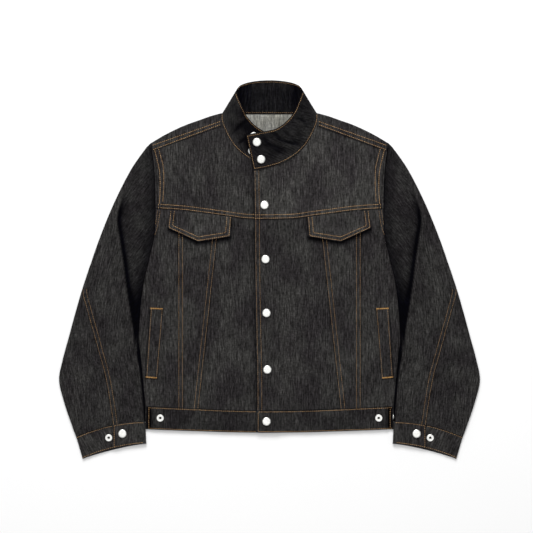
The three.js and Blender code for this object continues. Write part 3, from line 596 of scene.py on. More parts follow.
panels = {
    "front_centre": {
        "flat": (0.14, 0.40), "area": 0.056, "width": 130, "tone": 0.0, "start": "felled", "end": "tucked",
    },
    "front_middle": {
        "flat": (0.086, 0.40), "area": 0.025, "width": 62, "tone": -0.3, "start": "felled", "end": "felled",
    },
    "front_side": {
        "flat": (0.085, 0.415), "area": 0.028, "width": 76, "tone": -0.18, "start": "tucked", "end": "rolled",
    },
}
panelHeight = 398
paleStrips = {"middle": 0.4, "placket": 0.16, "from": 9, "to": 12}       # paler strips along the felled seams


def buildPanel(side, part):
    settings = panels[part]
    centre, middle = part == "front_centre", part == "front_middle"
    tuck = body["tuck"]

    def edgeX(y):
        if centre:
            return centreEdge(side, y), panelSeam("middleInner", y) + tuck
        if middle:
            return panelSeam("middleInner", y), panelSeam("middleOuter", y)
        return panelSeam("middleOuter", y) - tuck, bodyEdge(y) + body["sideTouch"] * (1 - ramp(y, 40, 60))

    def place(u, v):
        nearY = between(body["hemLine"], body["yokeLine"] + 8, v)
        nearX = between(*edgeX(nearY), u)
        y = between(hemSeam(nearX) - tuck, yokeSeam(nearX) + tuck, v)
        inner, outer = edgeX(y)
        x = between(inner, outer, u)
        height = frontHeight(side, x, y)
        covered = [y - yokeSeam(x), hemSeam(x) - y]
        shade = settings["tone"] + 0.14 * softNoise(x, y, 60, side["seed"] + 8)
        shade = shade + creaseShade(frontLoose(side, x, y))
        shade = shade + seamShade(yokeSeam(x) - y, 0.62, 2.8) + seamShade(y - hemSeam(x), 0.4, 2.4)
        if middle:
            nearEdge = np.minimum(x - inner, outer - x)
            height = height + felled(nearEdge) + 0.15
            strip = ramp(nearEdge, 0, 2) * (1 - ramp(nearEdge, paleStrips["from"], paleStrips["to"]))
            shade = shade - paleStrips["middle"] * strip
        elif centre:
            covered.append(x - (outer - tuck))
            shade = shade + seamShade(outer - tuck - x, 0.3)
            if side["laps"]:
                height = height + felled(x - inner)
                shade = shade - paleStrips["placket"] * (1 - ramp(x - inner, paleStrips["from"], paleStrips["to"]))
        else:
            covered.append(inner + tuck - x)
            height = height + felled(outer - x) * ramp(y, body["armpit"], body["armpit"] + 22)
            shade = shade + seamShade(x - inner - tuck, 0.3)
        height = np.maximum(height + coverDrop(*covered), body["cloth"])
        shade = np.maximum(shade, underFlap(x, y))
        if part == "front_side":
            shade = np.maximum(shade, besideWelt(x, y))
        if centre and not side["laps"]:
            shade = np.maximum(shade, underLapShade(x, y))
        return x, y, height, x, y, shade

    start = "hidden" if centre and not side["laps"] else settings["start"]
    across = spotsAcross(start, settings["end"], settings["width"])
    along = spotsAcross("tucked", "tucked", panelHeight)
    layCloth(part, across, along, place, settings, side)


# Yoke, from the yoke seam up to the neck and shoulder seams

yoke = {
    "neckShare": 0.42, "neckFoot": 88, "armFoot": 228.0, "placketTop": 200, "shoulderFrom": 96,
    "underNeck": 3.0, "underShoulder": 6.0,
    "width": 262, "underWidth": 240, "height": 150,
    "flat": (0.262, 0.19), "area": 0.0353,
}


def yokeTop(side, share):
    # the upper edge: along the neck seam, then along the shoulder seam
    turn = yoke["neckShare"]
    first = 0 if side["laps"] else 1 / 6
    onNeck = mix(first, 1, np.clip(share / turn, 0, 1)) * 7
    onShoulder = np.clip((share - turn) / (1 - turn), 0, 1)
    start, end = body["shoulderNeck"], body["shoulderArm"]
    atNeck = share <= turn
    x = np.where(atNeck, neckLine["x"](onNeck), mix(start[0], end[0], onShoulder))
    y = np.where(atNeck, neckLine["y"](onNeck) + yoke["underNeck"],
                 mix(start[1], end[1], onShoulder) + yoke["underShoulder"])
    return x, y, onShoulder, atNeck


def shoulderSeamY(x):
    start, end = body["shoulderNeck"], body["shoulderArm"]
    return start[1] + (x - start[0]) * (end[1] - start[1]) / (end[0] - start[0])


def buildYoke(side):
    def place(u, v):
        topX, topY, onShoulder, atNeck = yokeTop(side, u[0])
        share, turn = u[0], yoke["neckShare"]
        armFoot = bodyEdge(yokeSeam(yoke["armFoot"]))
        start = centreEdge(side, body["yokeLine"])
        footX = np.where(atNeck, mix(start, yoke["neckFoot"], share / turn),
                         mix(yoke["neckFoot"], armFoot, onShoulder))
        y = between(yokeSeam(footX), topY, v)
        up = np.clip((y - yokeSeam(footX)) / (topY - yokeSeam(footX)), 0, 1)
        x = mix(footX, topX, up)
        atArm = bodyEdge(y) - mix(armFoot, body["shoulderArm"][0], up)
        x = x + atArm * onShoulder ** 3 + u[1] * np.where((share == 0) | (share == 1), 1, 0)
        onPlacket = np.minimum(y, yoke["placketTop"])
        atShoulder = x > yoke["shoulderFrom"]
        height = frontHeight(side, x, y) + felled(y - yokeSeam(x)) + felled(bodyEdge(y) - x)
        if side["laps"]:
            height = height + felled(x - lapEdge(onPlacket))
        height = height + coverDrop(np.where(atShoulder, y - shoulderSeamY(x), -9))
        # painted light: the yoke is drawn paler by its side's share
        shade = side["paintedYokeLight"] + 0.12 * softNoise(x, y, 60, side["seed"] + 9)
        shade = shade + creaseShade(frontLoose(side, x, y))
        shade = shade + np.where(atShoulder, seamShade(shoulderSeamY(x) - y, 0.8, 2.8), 0)
        if not side["laps"]:
            shade = np.maximum(shade, underLapShade(x, onPlacket))
        return x, y, height, x, y, shade

    start, width = ("felled", yoke["width"]) if side["laps"] else ("hidden", yoke["underWidth"])
    across = spotsAcross(start, "felled", width)
    along = spotsAcross("felled", "tucked", yoke["height"])
    layCloth("front_yoke", across, along, place, yoke, side)


def inCorners(shape, f, g):
    # a place between four corners, by its shares of the way outwards and upwards
    low = [mix(shape["lowerInner"][n], shape["lowerOuter"][n], f) for n in (0, 1)]
    top = [mix(shape["topInner"][n], shape["topOuter"][n], f) for n in (0, 1)]
    return low, top, [mix(low[n], top[n], g) for n in (0, 1)]


def buildFlap(side):
    shape = flapShape

    def place(u, v):
        f = np.clip(between(0, shape["width"], u) / shape["width"], 0, 1)
        up = np.clip(between(0, shape["height"], v) / shape["height"], 0, 1)
        (lowX, _), (_, topY), (x, _) = inCorners(shape, f, up)
        lowY = flapFoot(lowX)
        y = mix(lowY, topY, up)
        inside = np.minimum(np.minimum(f, 1 - f) * shape["width"], up * (topY - lowY) * 0.98)
        loose = ramp(1 - up, 0.2, 1.0)
        height = frontHeight(side, x, y) + shape["lift"] + felled(inside) * 0.8
        height = height + shape["curl"] * loose ** 2
        height = height + 0.8 * softNoise(x, y, 30, side["seed"] + 20) * loose
        return x, y, height, x + 300, y + 100, shape["tone"] + 0.1 * softNoise(x, y, 30, side["seed"] + 21)

    across = spotsAcross("felled", "felled", shape["width"])
    along = spotsAcross("felled", "hidden", shape["length"])
    layCloth("pocket_flap", across, along, place, shape, side)


def buildWelt(side):
    shape = weltShape

    def place(u, v):
        f = np.clip(between(0, shape["width"], u) / shape["width"], 0, 1)
        g = np.clip(between(0, shape["length"], v) / shape["length"], 0, 1)
        x, y = inCorners(shape, f, g)[2]
        inside = np.minimum(np.minimum(f, 1 - f) * shape["face"], np.minimum(g, 1 - g) * shape["length"])
        height = frontHeight(side, x, y) + shape["lift"] + rounded(inside)
        height = height + groove(f * shape["face"] - shape["row"])
        height = height + shape["standOff"] * np.sin(np.pi * g) ** 0.6 * f      # its free edge stands off
        return x, y, height, x + 500, y, 0

    across = spotsAcross("plain", "plain", shape["width"])
    along = spotsAcross("plain", "plain", shape["length"])
    layCloth("pocket_welt", across, along, place, shape, side)


# Waistband: two fronts with tabs, and a back band whose ends turn up under the tabs

band = {
    "level": 6.3, "end": 237.5, "width": 262, "height": 42,
    "backEnd": 248.4, "roll": 2.1, "upper": 11.0,        # the back's end lies this far over itself
    # tone draws the front band darker all over; tabShade is painted shade towards a tab's end, underTab
    # painted shade on the back band's ends under the tabs
    "tone": 0.24, "tabShade": 0.45, "underTab": 0.78,
    "front": {"thickness": 1.8, "flat": (0.263, 0.043), "area": 0.0112},
    "back": {"thickness": 1.5, "flat": (0.53, 0.043), "area": 0.0221},
}


def buildFrontBand(side):
    laps, seed = side["laps"], side["seed"] + 31

    def place(u, v):
        start = centreEdge(side, -300.0)
        x = between(start, band["end"], u)
        high, low = hemSeam(x), hemEdge(x)
        y = between(low, high, v)
        inside, ends = np.minimum(high - y, y - low), band["end"] - x
        if laps:
            ends = np.minimum(ends, x - start)
        lap = 1 - ramp(x, body["lapEnd"], body["lapEnd"] + body["lapFade"]) if laps else 0
        height = band["level"] + (body["lapLift"] + 0.2) * lap
        height = height + 0.35 * softNoise(x, y, 26, seed) + 0.2 * softNoise(x, y, 9, seed + 1)
        height = height + rounded(np.minimum(inside, ends), 1.2, 0.9)
        height = height + groove(inside - sewing["edgeRow"]) + groove(ends - sewing["edgeRow"])
        height = height + pucker(x, inside, seed + 2, 0.35, 6.0, 6.0)
        shade = band["tone"] + 0.12 * softNoise(x, y, 24, seed + 3)
        # painted shade towards the tab's end
        return x, y, height, x, y + 700, shade + band["tabShade"] * ramp(x, 226, 237)

    across = spotsAcross("plain" if laps else "hidden", "plain", band["width"])
    along = spotsAcross("plain", "plain", band["height"])
    layCloth("front_waistband", across, along, place, band["front"], side)


def buildBackBand():
    roll = band["roll"]
    reach, bend = band["backEnd"] - roll, math.pi * roll

    def place(u, v):
        run = between(-(reach + bend + band["upper"]), reach + bend + band["upper"], u)
        sign, run = np.sign(run), np.abs(run)
        turn = np.clip((run - reach) / roll, 0, math.pi)
        over = np.clip(run - reach - bend, 0, None)
        x = np.minimum(run, reach) + roll * np.sin(turn) - over
        z = roll - roll * np.cos(turn)
        y = between(hemEdge(np.minimum(x, 250)), hemSeam(np.minimum(x, 250)), v)
        # painted shade in the slit beside the tab's end, and on the end that lies under the tab
        slitShade = 0.5 * np.exp(-((x - band["end"] - 0.6) / 1.6) ** 2)
        shade = 0.1 + (over > 0) * (band["underTab"] + slitShade + 0.1 * ramp(x, 243.6, 246))
        return sign * x, y, z, x, y + 800, shade

    # close together where the end turns up, and the same from the other end
    stretches = (0, 0.018, 8), (0.019, 0.035, 12), (0.04, 0.5, 30)
    line = np.concatenate([np.linspace(*stretch) for stretch in stretches])
    line = np.concatenate([line, 1 - line[-2::-1]])
    along = spotsAcross("plain", "plain", band["height"], 6)
    layCloth("back_waistband", evenly(line), along, place, band["back"], flip=True)


# Back: a plate on the floor, grey on its inner side, whose shoulders turn over to the front

back = {
    "fold": [(98.4, 311.4), (140, 298), (172, 286.4), (208, 269), (237, 252)],
    "insideFold": 4.0, "sideInset": 2.8, "columns": 70, "rows": 90,
    "shoulderColumns": 62, "shoulderReach": 136, "flat": (0.52, 0.625), "area": 0.295,
}


def backPlate(u, v):
    fold = columnsOf("xy", back["fold"])
    foldRows = np.linspace(0, 4, 60)
    foldX = curveOf(fold["y"](foldRows), fold["x"](foldRows))
    footX = np.abs(between(-1, 1, u)) * bodyEdge(body["hemLine"])
    y = between(hemSeam(footX) + 0.5, body["backSeam"], v)
    inset = back["sideInset"] * (1 - ramp(y, body["armpit"] - 20, body["armpit"] + 14))
    half = np.where(y < 247, bodyEdge(y) - inset, foldX(np.clip(y + back["insideFold"], 252, 311.4)) - 1)
    half = np.minimum(half, bodyEdge(np.minimum(y, 250)) - inset)
    x = between(-1, 1, u) * half
    return x, y, 0 * x, x, y + 900, 0


def shoulderStrip(side, u, v):
    # from the seam on the front, up over the fold and down to the plate
    roll = body["shoulderRoll"]
    start, end = body["shoulderNeck"], body["shoulderArm"]
    before = np.clip(u[0], None, 0) * back["shoulderReach"]            # runs on under the collar
    seamX, seamY = mix(start[0], end[0], u[0]), mix(start[1], end[1], u[0])
    overX = shoulderFold["x"](u[0] * 6) + before
    overY = shoulderFold["y"](u[0] * 6) - before * 0.1
    reach = np.hypot(seamX - overX, seamY - overY)
    inX, inY = (seamX - overX) / reach, (seamY - overY) / reach
    bend = math.pi * roll
    run = between(0, reach - roll + bend + 1.5, v)
    lying = np.clip(reach - run, roll, None)
    turn = np.clip((run - (reach - roll)) / roll, 0, math.pi)
    foot = np.clip(run - (reach - roll) - bend, 0, None)
    off = np.where(turn > 0, roll - roll * np.sin(turn) + foot, lying)
    x, y = overX + inX * off, overY + inY * off
    top = frontHeight(side, x, y) * 0.5 + body["level"] * 0.5
    blend = ramp(lying, roll, roll + 9)
    height = mix(2 * roll, top + felled(run) + 0.35, blend)
    z = np.where(turn > 0, roll + roll * np.cos(turn), height)
    z = z + 0.3 * softNoise(x, y, 12, side["seed"] + 41) * blend
    return x, y, z, x, y + 40, 0


def buildBack():
    across, along = [evenly(np.linspace(0, 1, back[name])) for name in ("columns", "rows")]
    parts = [clothGrid("plate", across, along, backPlate, flip=True)]
    across = evenly(np.linspace(-0.05, 1, back["shoulderColumns"]))
    along = spotsAcross("felled", "hidden", 32, 1.2)
    for side in sides:
        parts.append(clothGrid("strip", across, along, lambda u, v: shoulderStrip(side, u, v), side["sign"]))
    clothPiece("back_panel", joinMeshes("denim_back_panel", parts), back, greyDenim)


# Sleeves: a section is a flattened loop. A place on it is measured from the outer fold, plus on
# the upper layer and minus on the layer on the floor.

sleeve = {
    "level": 6.4, "valley": 3.0, "roll": 3.2, "edgeRoll": 6.0, "ridge": 3.6, "ridgeWidth": 9.0,
    "underBody": 2.9, "lowest": 1.5, "sectionStep": 50.0, "last": 13.0, "underArmhole": 5.0,
    "top": {"flat": (0.175, 0.63), "area": 0.0745}, "under": {"flat": (0.235, 0.63), "area": 0.0875},
}
sleeveTable = columnsOf(
    ["outerX", "outerY", "innerX", "innerY", "crease", "sink", "seam", "turn", "bow"],
    [
        (246, 244, 237.2, 241, 4, 0, -6, 0, 0),
        (275, 202.4, 231.2, 199, 36, 0.1, -9, 0, 0),
        (300.4, 154.6, 228.9, 148, 61, 0.2, -9, 0, 0),
        (322.2, 106.4, 228.2, 98, 77, 1, -9, 0, 0),
        (341.2, 58, 231.8, 58, 68, 1, -9, 0, 0),
        (358, 10, 242.8, 10, 50, 1, -5.5, 0, 0),
        (374, -38, 253, -36, 34, 1, 0.5, 0, 0),
        (388, -86, 258.7, -81, 21, 1, 25, 0, 0),
        (401, -134, 261.8, -126, 11, 0.8, 51, 0.2, 0),
        (414, -182, 263.4, -168, 8, 0, 76, 1, 1),
        (421, -222, 257.6, -206, 8, 0, 93, 1, 3),
        (411, -266, 253.6, -244, 8, 0, 91, 1, 5),
        (395, -314, 250.2, -286, 8, 0, 82, 1, 7),
        (386.8, -336, 249, -305.6, 8, 0, 77, 1, 7.6),
    ],
)
creaseRise = curveOf((0, 1.6, 3, 5, 7, 9, 11, 13), (0, 0, 0.9, 1.2, 1.2, 0.9, 0.5, 0.2))
sleeveCreases = [
    # fromX, fromY, toX, toY, width, height, bow, steepness of the far side
    (300, 190, 262, 128, 11, 1.1, 4, 0.8),
    (318, 132, 292, 60, 8, 0.9, -4, 0.8),
    (262, 176, 246, 110, 8, 1.0, 3, 0.8),
    (330, 66, 318, -40, 14, 1.5, 4, 0.7),
    (352, 0, 330, -96, 13, 1.3, -4, 0.8),
    (306, -30, 312, -120, 10, 1.2, 4, 0.8),
    (378, -96, 352, -176, 14, 1.4, 5, 0.8),
    (404, -176, 366, -236, 14, 1.7, -5, 0.7),
    (296, -110, 300, -200, 12, 1.3, 4, 0.8),
    (284, -180, 280, -268, 11, 1.3, -3, 0.8),
    (398, -236, 360, -300, 13, 1.4, 4, 0.7),
    (340, -250, 330, -312, 11, 1.1, 2, 0.8),
    (310, -230, 300, -296, 10, 1.0, 2, 0.8),
    (262, 40, 300, -6, 9, 0.8, 3, 0.8),
    (252, 92, 290, 52, 9, 0.8, -3, 0.8),
    (268, -16, 290, -60, 7, 0.7, 2, 0.8),
]


def sleeveRow(row):
    section = {name: column(row) for name, column in sleeveTable.items()}
    # above the first row it runs on under the end of the shoulder
    early = np.clip(row, None, 0)
    beside = bodyEdge(section["innerY"]) + 0.3
    section["gap"] = np.clip(section["innerX"] - beside, 0, 12) * (early == 0)
    section["innerX"] = np.maximum(section["innerX"], beside) + early * 26
    section["innerY"] = section["innerY"] - early * 10
    section["outerX"] = section["outerX"] + early * 24
    section["outerY"] = section["outerY"] - early * 24
    section["width"] = np.hypot(section["outerX"] - section["innerX"], section["outerY"] - section["innerY"])
    # the length of the upper layer, from the outer fold to the inner edge
    section["reach"] = section["width"] - sleeve["roll"] + sleeve["roll"] * math.pi / 2
    return section


# Depth of painted shade, and how far it reaches in millimetres: at the crease, wide and near the crease, at
# the body, where the sunken stretch is narrow, and over all of it; a darker tone on the whole sleeve and
# higher up;
# ridge and crest are painted highlights beside the crease
sleeveShade = {
    "crease": 0.87, "creaseReach": 11, "creaseWide": 0.12, "creaseWideReach": 24,
    "body": 0.56, "bodyReach": 18.0, "narrow": 0.66, "sunk": 0.2, "all": 0.18, "highUp": 0.04,
    "ridge": 0.12, "crest": 0.14, "slant": math.radians(38),
}


def sleevePaintedShade(section, past, fromInner, deep, sunk, ridge, loose):
    # painted shade: the sunken cloth is darkest beside the crease and beside the body, where the sleeve
    # touches the body, with a painted highlight along the crest and ridge
    look = sleeveShade
    innerY, into = section["innerY"], np.clip(-past, 0, None)
    onCrease = look["crease"] * np.exp(-(into / look["creaseReach"]) ** 3)
    onCrease = deep * sunk * (onCrease + look["creaseWide"] * np.exp(-(into / look["creaseWideReach"]) ** 2))
    onBody = look["body"] * np.exp(-(np.clip(fromInner, 0, None) / look["bodyReach"]) ** 2)
    onBody = onBody * ramp(innerY, -130, -80)
    narrow = look["narrow"] * deep * sunk * (1 - ramp(section["crease"], 16, 46))
    onBody = 1 - (1 - onBody) * (1 - narrow)
    onBody = onBody * (1 - ramp(innerY, 110, 200) * 0.26)
    touching = mix(0.97, 0.7, ramp(innerY, -150, -100))
    onBody = np.maximum(onBody, touching * (1 - ramp(fromInner, 0.6, 3)))
    dark = 1 - (1 - onCrease) * (1 - onBody) * (1 - look["sunk"] * deep * sunk)
    crest = np.exp(-((past - 2.5) / 2.6) ** 2)
    paler = (look["ridge"] * ridge + look["crest"] * crest) * deep
    dark = dark + (creaseShade(loose) - paler) * (1 - dark)
    return dark + look["all"] + look["highUp"] * ramp(innerY, 60, 150) * (1 - sunk * deep)


def sleevePlace(side, row, place, lift):
    section, seed = sleeveRow(row), side["seed"] + 51
    roll, half = sleeve["roll"], sleeve["roll"] * math.pi / 2
    angle = place / roll
    onFold = np.abs(place) < half
    off = np.where(onFold, roll - (roll + lift) * np.cos(angle), roll + np.abs(place) - half)
    across = off / section["width"]
    x = mix(section["outerX"], section["innerX"], across)
    y = mix(section["outerY"], section["innerY"], across) + section["bow"] * 4 * across * (1 - across)
    fromInner = section["width"] - off
    past = fromInner - section["crease"]
    deep = np.clip(section["sink"], 0, 1)
    sunk = 1 - ramp(past, -2.4, 0.2)
    level = mix(sleeve["level"], sleeve["valley"], deep * sunk)
    ridge = np.exp(-(np.clip(past, 0, None) / sleeve["ridgeWidth"]) ** 2) * (1 - sunk)
    level = level + sleeve["ridge"] * creaseRise(row) * ridge
    loose = creases(sleeveCreases, x, y) + 0.6 * softNoise(x, y, 34, seed)
    loose = loose + 0.3 * softNoise(x, y, 13, seed + 1)
    besideSeam = pucker(row * 48, place - section["seam"] - 4, seed + 2, 0.35, 6.0, 10.0)
    loose = loose + besideSeam * ramp(place, 6, 14)
    level = level + loose * ramp(place, half, half + 12) * mix(1, 0.75, deep * sunk)
    armhole = ramp(section["innerY"], body["armpit"] - 12, body["armpit"] + 12)
    turned = np.sqrt(1 - (1 - np.clip(fromInner / sleeve["edgeRoll"], 0, 1)) ** 2)
    besideBody = mix(body["floorEdge"], level, turned)
    underBody = mix(sleeve["underBody"], level, ramp(fromInner, -0.5, 9))
    level = mix(besideBody, underBody, armhole)
    flat = np.where(place > 0, np.maximum(level + lift, sleeve["lowest"]), np.clip(-lift, 0, None))
    z = np.where(onFold, roll + (roll + lift) * np.sin(angle), flat)
    z = np.clip(z * (1 + np.clip(row, -0.4, 0) * 1.4), 0, None)
    dark = np.where(place > 0, sleevePaintedShade(section, past, fromInner, deep, sunk, ridge, loose), 0)
    # grain runs down the sleeve, and at a slant across the sunken stretch
    cos, sin = math.cos(sleeveShade["slant"]), math.sin(sleeveShade["slant"])
    slanted = deep * (past < -1.5) > 0.05
    weft = np.where(slanted, x * cos + y * sin + 400, fromInner)
    warp = np.where(slanted, (y * cos - x * sin) * 1.5 + 400, row * sleeve["sectionStep"])
    return x, y, z, weft, warp, np.clip(dark, 0, 1)


def buildSleeve(side):
    def topPlace(u, v):
        section = sleeveRow(v[0])
        armhole = ramp(section["innerY"], body["armpit"] - 6, body["armpit"] + 6)
        # it runs on under the body at the armhole, and lies low beside the body
        reach = section["reach"] + sleeve["underArmhole"] * armhole + section["gap"]
        off = between(0, reach - section["seam"], u)
        place = section["seam"] + off
        above = ramp(place, 2, 8)
        return sleevePlace(side, v[0], place, felled(off) * above + rounded(off) * (1 - above))

    def underPlace(u, v):
        section = sleeveRow(v[0])
        inset = 2.8 * np.sqrt(np.clip(section["turn"], 0, 1))
        place = mix(section["seam"] + body["tuck"], inset - section["reach"], u[0]) - u[1]
        return sleevePlace(side, v[0], place, tucked(place - section["seam"]))

    along = evenly(np.concatenate([np.linspace(-0.36, 0, 8)[:-1], np.linspace(0, sleeve["last"], 226)]))
    across = spotsAcross("felled", "rolled", 128)
    layCloth("top_sleeve", across, along, topPlace, sleeve["top"], side)
    near = [(0, off) for off in (0, 3.0, 4.6, 5.4, 6.2, 7.0, 8.4)]
    shares = np.concatenate([np.linspace(0, 0.62, 62)[1:], np.linspace(0.64, 1, 16)])
    across = np.array(near + [(f, mix(8.4, 0, f)) for f in shares])
    layCloth("under_sleeve", across, along, underPlace, sleeve["under"], side, flip=True)


# Cuffs go once round, from the lap on top to the end that lies under it

cuff = {
    # outer x and y, inner x and y, bow, and how far the lap reaches
    "seam": (386.9, -335.4, 249.1, -305, 7.6, 65), "edge": (373.8, -380, 246, -349.4, 6, 68.5),
    "innerRoll": 3.5, "outerRoll": 2.5, "lapTop": 7.4, "underTop": 5.2, "underlap": 24, "length": 43.0,
    "underEdge": 2.4, "thickness": 1.5, "flat": (0.305, 0.043), "area": 0.0128,
}


def cuffPlace(side, u, v):
    seam, edge, length = cuff["seam"], cuff["edge"], cuff["length"]
    outerX, outerY, innerX, innerY, bow, lap = [mix(edge[n], seam[n], v[0]) for n in range(6)]
    width = np.hypot(outerX - innerX, outerY - innerY)
    r1, r2 = cuff["innerRoll"], cuff["outerRoll"]
    upper, first = lap - r1, math.pi * r1
    floor, second = width - r1 - r2, math.pi * r2
    run = between(0, upper + first + floor + second + (width - r2 - lap) + cuff["underlap"], u)
    a = np.clip((run - upper) / r1, 0, math.pi)
    b = np.clip((run - upper - first - floor) / r2, 0, math.pi)
    onFloor = np.clip(run - upper - first, 0, floor)
    back = np.clip(run - upper - first - floor - second, 0, None)
    off = np.clip(lap - run, r1, None) - r1 * np.sin(a) + onFloor + r2 * np.sin(b) - back
    onTop, onUnder = run < upper, back > 0
    top = onTop | onUnder
    z = np.where(onTop, mix(2 * r1, cuff["lapTop"], ramp(upper - run, 0, 9)), r1 + r1 * np.cos(a))
    z = np.where(b > 0, r2 - r2 * np.cos(b), z)
    end = mix(2 * r2, cuff["underTop"], ramp(back, 0, 14)) - 0.5 * ramp(lap - off, -2, 3)
    z = np.where(onUnder, end, z)
    across = off / width
    fromSeam = (1 - v[0]) * length - v[1]
    inside = np.minimum(fromSeam, length - fromSeam)
    lower = -cuff["underEdge"] * np.sin(np.pi * np.clip(across, 0, 1)) * (onFloor > 0) * (b <= 0) * (1 - v[0])
    x = mix(innerX, outerX, across) + v[1] * (seam[0] - edge[0]) / length
    y = mix(innerY, outerY, across) + bow * 4 * across * (1 - across)
    y = y + v[1] * (seam[1] - edge[1]) / length + lower
    z = z + top * (groove(inside - sewing["edgeRow"]) + rounded(inside, 1.2, 0.8))
    z = z + onTop * (rounded(run, 1.2, 0.8) + groove(run - sewing["edgeRow"]))
    wave = 0.35 * softNoise(x, y, 22, side["seed"] + 61)
    z = z + top * (wave + pucker(x, inside, side["seed"] + 62, 0.35, 6.0, 7.0))
    # painted shade on the end that lies under the lap, beside the lap's edge
    shade = np.where(onUnder, 0.3 * (1 - ramp(off - lap, 0, 9)), 0)
    return x, y, z, run, fromSeam + 1200, shade


def buildCuff(side):
    # its rows crowd at the lap's edge
    near = edges["plain"]
    across = [(0, off) for off in near] + [(f, mix(near[-1], 0, f)) for f in np.linspace(0, 1, 160)[1:]]
    along = spotsAcross("plain", "plain", cuff["length"])
    layCloth("cuff", np.array(across), along, lambda u, v: cuffPlace(side, u, v), cuff, side, True)


for side in sides:
    for part in panels:
        buildPanel(side, part)
    for build in (buildYoke, buildFlap, buildWelt, buildFrontBand, buildSleeve, buildCuff):
        build(side)
buildBackBand()
buildBack()
print("cloth: body, sleeves, cuffs and waistband")

# Collar: lines across it from the neck seam to the top edge, from the overlapping end round the
# back to the underlapping end. Each line is neck x, y, z and edge x, y, z.

collar = {
    "thickness": 2.2, "bulge": 2.2, "height": 62.0, "row": 2.8, "lineStep": 22.0,
    "last": 25.0, "back": 13, "turn": 5.6,      # lines: the last, the middle of the back, and to each fold
    "flat": (0.56, 0.068), "area": 0.034,
    "over": [
        (-47, 267.6, 16.8, 11), (-19, 273, 17.4, 10.6), (13, 280, 18, 9.2), (33, 294, 18.4, 7.6),
        (49, 313, 19.6, 6.6), (58.6, 334, 20, 6.2), (64, 348.5, 19, 6),
    ],
    "under": [
        (2, 270, 8, 5.4), (27, 285.4, 9.2, 5.6), (44.5, 304, 12.4, 5.8), (53.6, 322, 16.6, 6),
        (61, 338, 19, 6), (65.5, 350, 18.4, 6),
    ],
    "round": [
        (95.8, 305, 5.4, 65.2, 352.4, 15), (95, 310.8, 3.6, 66.4, 356.4, 8), (92.5, 311.4, 1, 64.2, 361.4, 2),
        (84, 310.2, 0, 58.4, 367.4, 0), (60, 309.8, 0, 44.4, 372.8, 0), (30, 309.8, 0, 22.4, 376.6, 0),
    ],
}
overCreases = [
    # on the overlapping end, seen from above
    (7, 271, 22, 257, 3.2, -2.4, 1, 0.8),
    (18, 259, 60, 248, 3.2, -3.0, -1.5, 0.8),
    (-14, 264, -2, 250, 2.8, -1.9, 0, 0.8),
    (-5, 251, 32, 239, 3.0, -2.0, -2, 0.8),
    (2, 256, 26, 247, 3.0, 1.3, 0, 0.9),
    (28, 272, 48, 257, 3.0, -1.3, 1, 0.8),
    (34, 268, 62, 258, 3.6, 1.2, 1, 0.8),
    (52, 302, 74, 291, 3.4, -1.5, 1, 0.8),
    (50, 294, 72, 283, 3.4, 1.2, 1, 0.8),
    (30, 246, 60, 238, 3.4, 1.2, 1, 0.8),
    (4, 240, 28, 228, 3.2, -1.0, 1, 0.8),
    (-8, 234, 14, 222, 3.2, -0.8, 1, 0.8),
    (60, 326, 80, 318, 3.6, -0.8, 1, 0.8),
]
underCreases = [
    (66, 281, 40, 296, 3.2, -2.2, -1, 0.8),
    (70, 290, 48, 302, 3.2, 1.3, -1, 0.8),
    (78, 267, 50, 290, 3.0, -1.3, -1, 0.8),
    (66, 247, 44, 262, 3.0, -1.8, -1, 0.8),
    (60, 262, 42, 276, 3.0, 1.0, 0, 0.8),
    (84, 302, 70, 312, 3.4, 1.0, 0, 0.8),
    (76, 322, 64, 332, 3.4, -0.8, 0, 0.8),
]


def collarLines():
    lines = []
    for n, (x, y, z, neckZ) in enumerate(collar["over"]):
        f = 7 * n / 6
        lines.append((neckLine["x"](f), neckLine["y"](f), neckZ, x, y, z))
    lines += collar["round"] + [(0, 309.8, 0, 0, 377.6, 0)]
    lines += [(-a, b, c, -d, e, f) for a, b, c, d, e, f in collar["round"][::-1]]
    for n, (x, y, z, neckZ) in reversed(list(enumerate(collar["under"]))):
        f = 7 * (n + 1) / 6
        lines.append((-neckLine["x"](f), neckLine["y"](f), neckZ, -x, y, z))
    return columnsOf(["neckX", "neckY", "neckZ", "edgeX", "edgeY", "edgeZ"], lines)


collarTable = collarLines()
collarShades = {
    "neck": 0.34, "edge": 0.68, "underEnd": 0.1, "besideEnd": 0.42, "side": 0.12, "deepest": 0.93,
    "inside": 0.84, "corner": 0.15, "top": 0.12, "streaks": 0.09,
}


def collarFolds(row, x, y):
    under = row > collar["last"] / 2
    folds = np.where(under, creases(underCreases, -x, y), creases(overCreases, x, y))
    return under, folds + 0.6 * softNoise(x + 0.7 * y, y, 13, 81)


def collarPlace(row, up):
    at = {name: column(row) for name, column in collarTable.items()}
    x, y = mix(at["neckX"], at["edgeX"], up), mix(at["neckY"], at["edgeY"], up)
    z = mix(np.clip(at["neckZ"], 0, None), np.clip(at["edgeZ"], 0, None), up)
    under, folds = collarFolds(row, x, y)
    rise = np.where(under, 0.7, 1) * ramp(at["edgeZ"], 7, 17)
    z = z + collar["bulge"] * rise * 4 * up * (1 - up)
    loose = ramp(up, 0, 0.1) * ramp(1 - up, 0, 0.1) * np.where(under | (row < 7), 1, 0) * ramp(z, 4, 8)
    return x, y, z + folds * loose


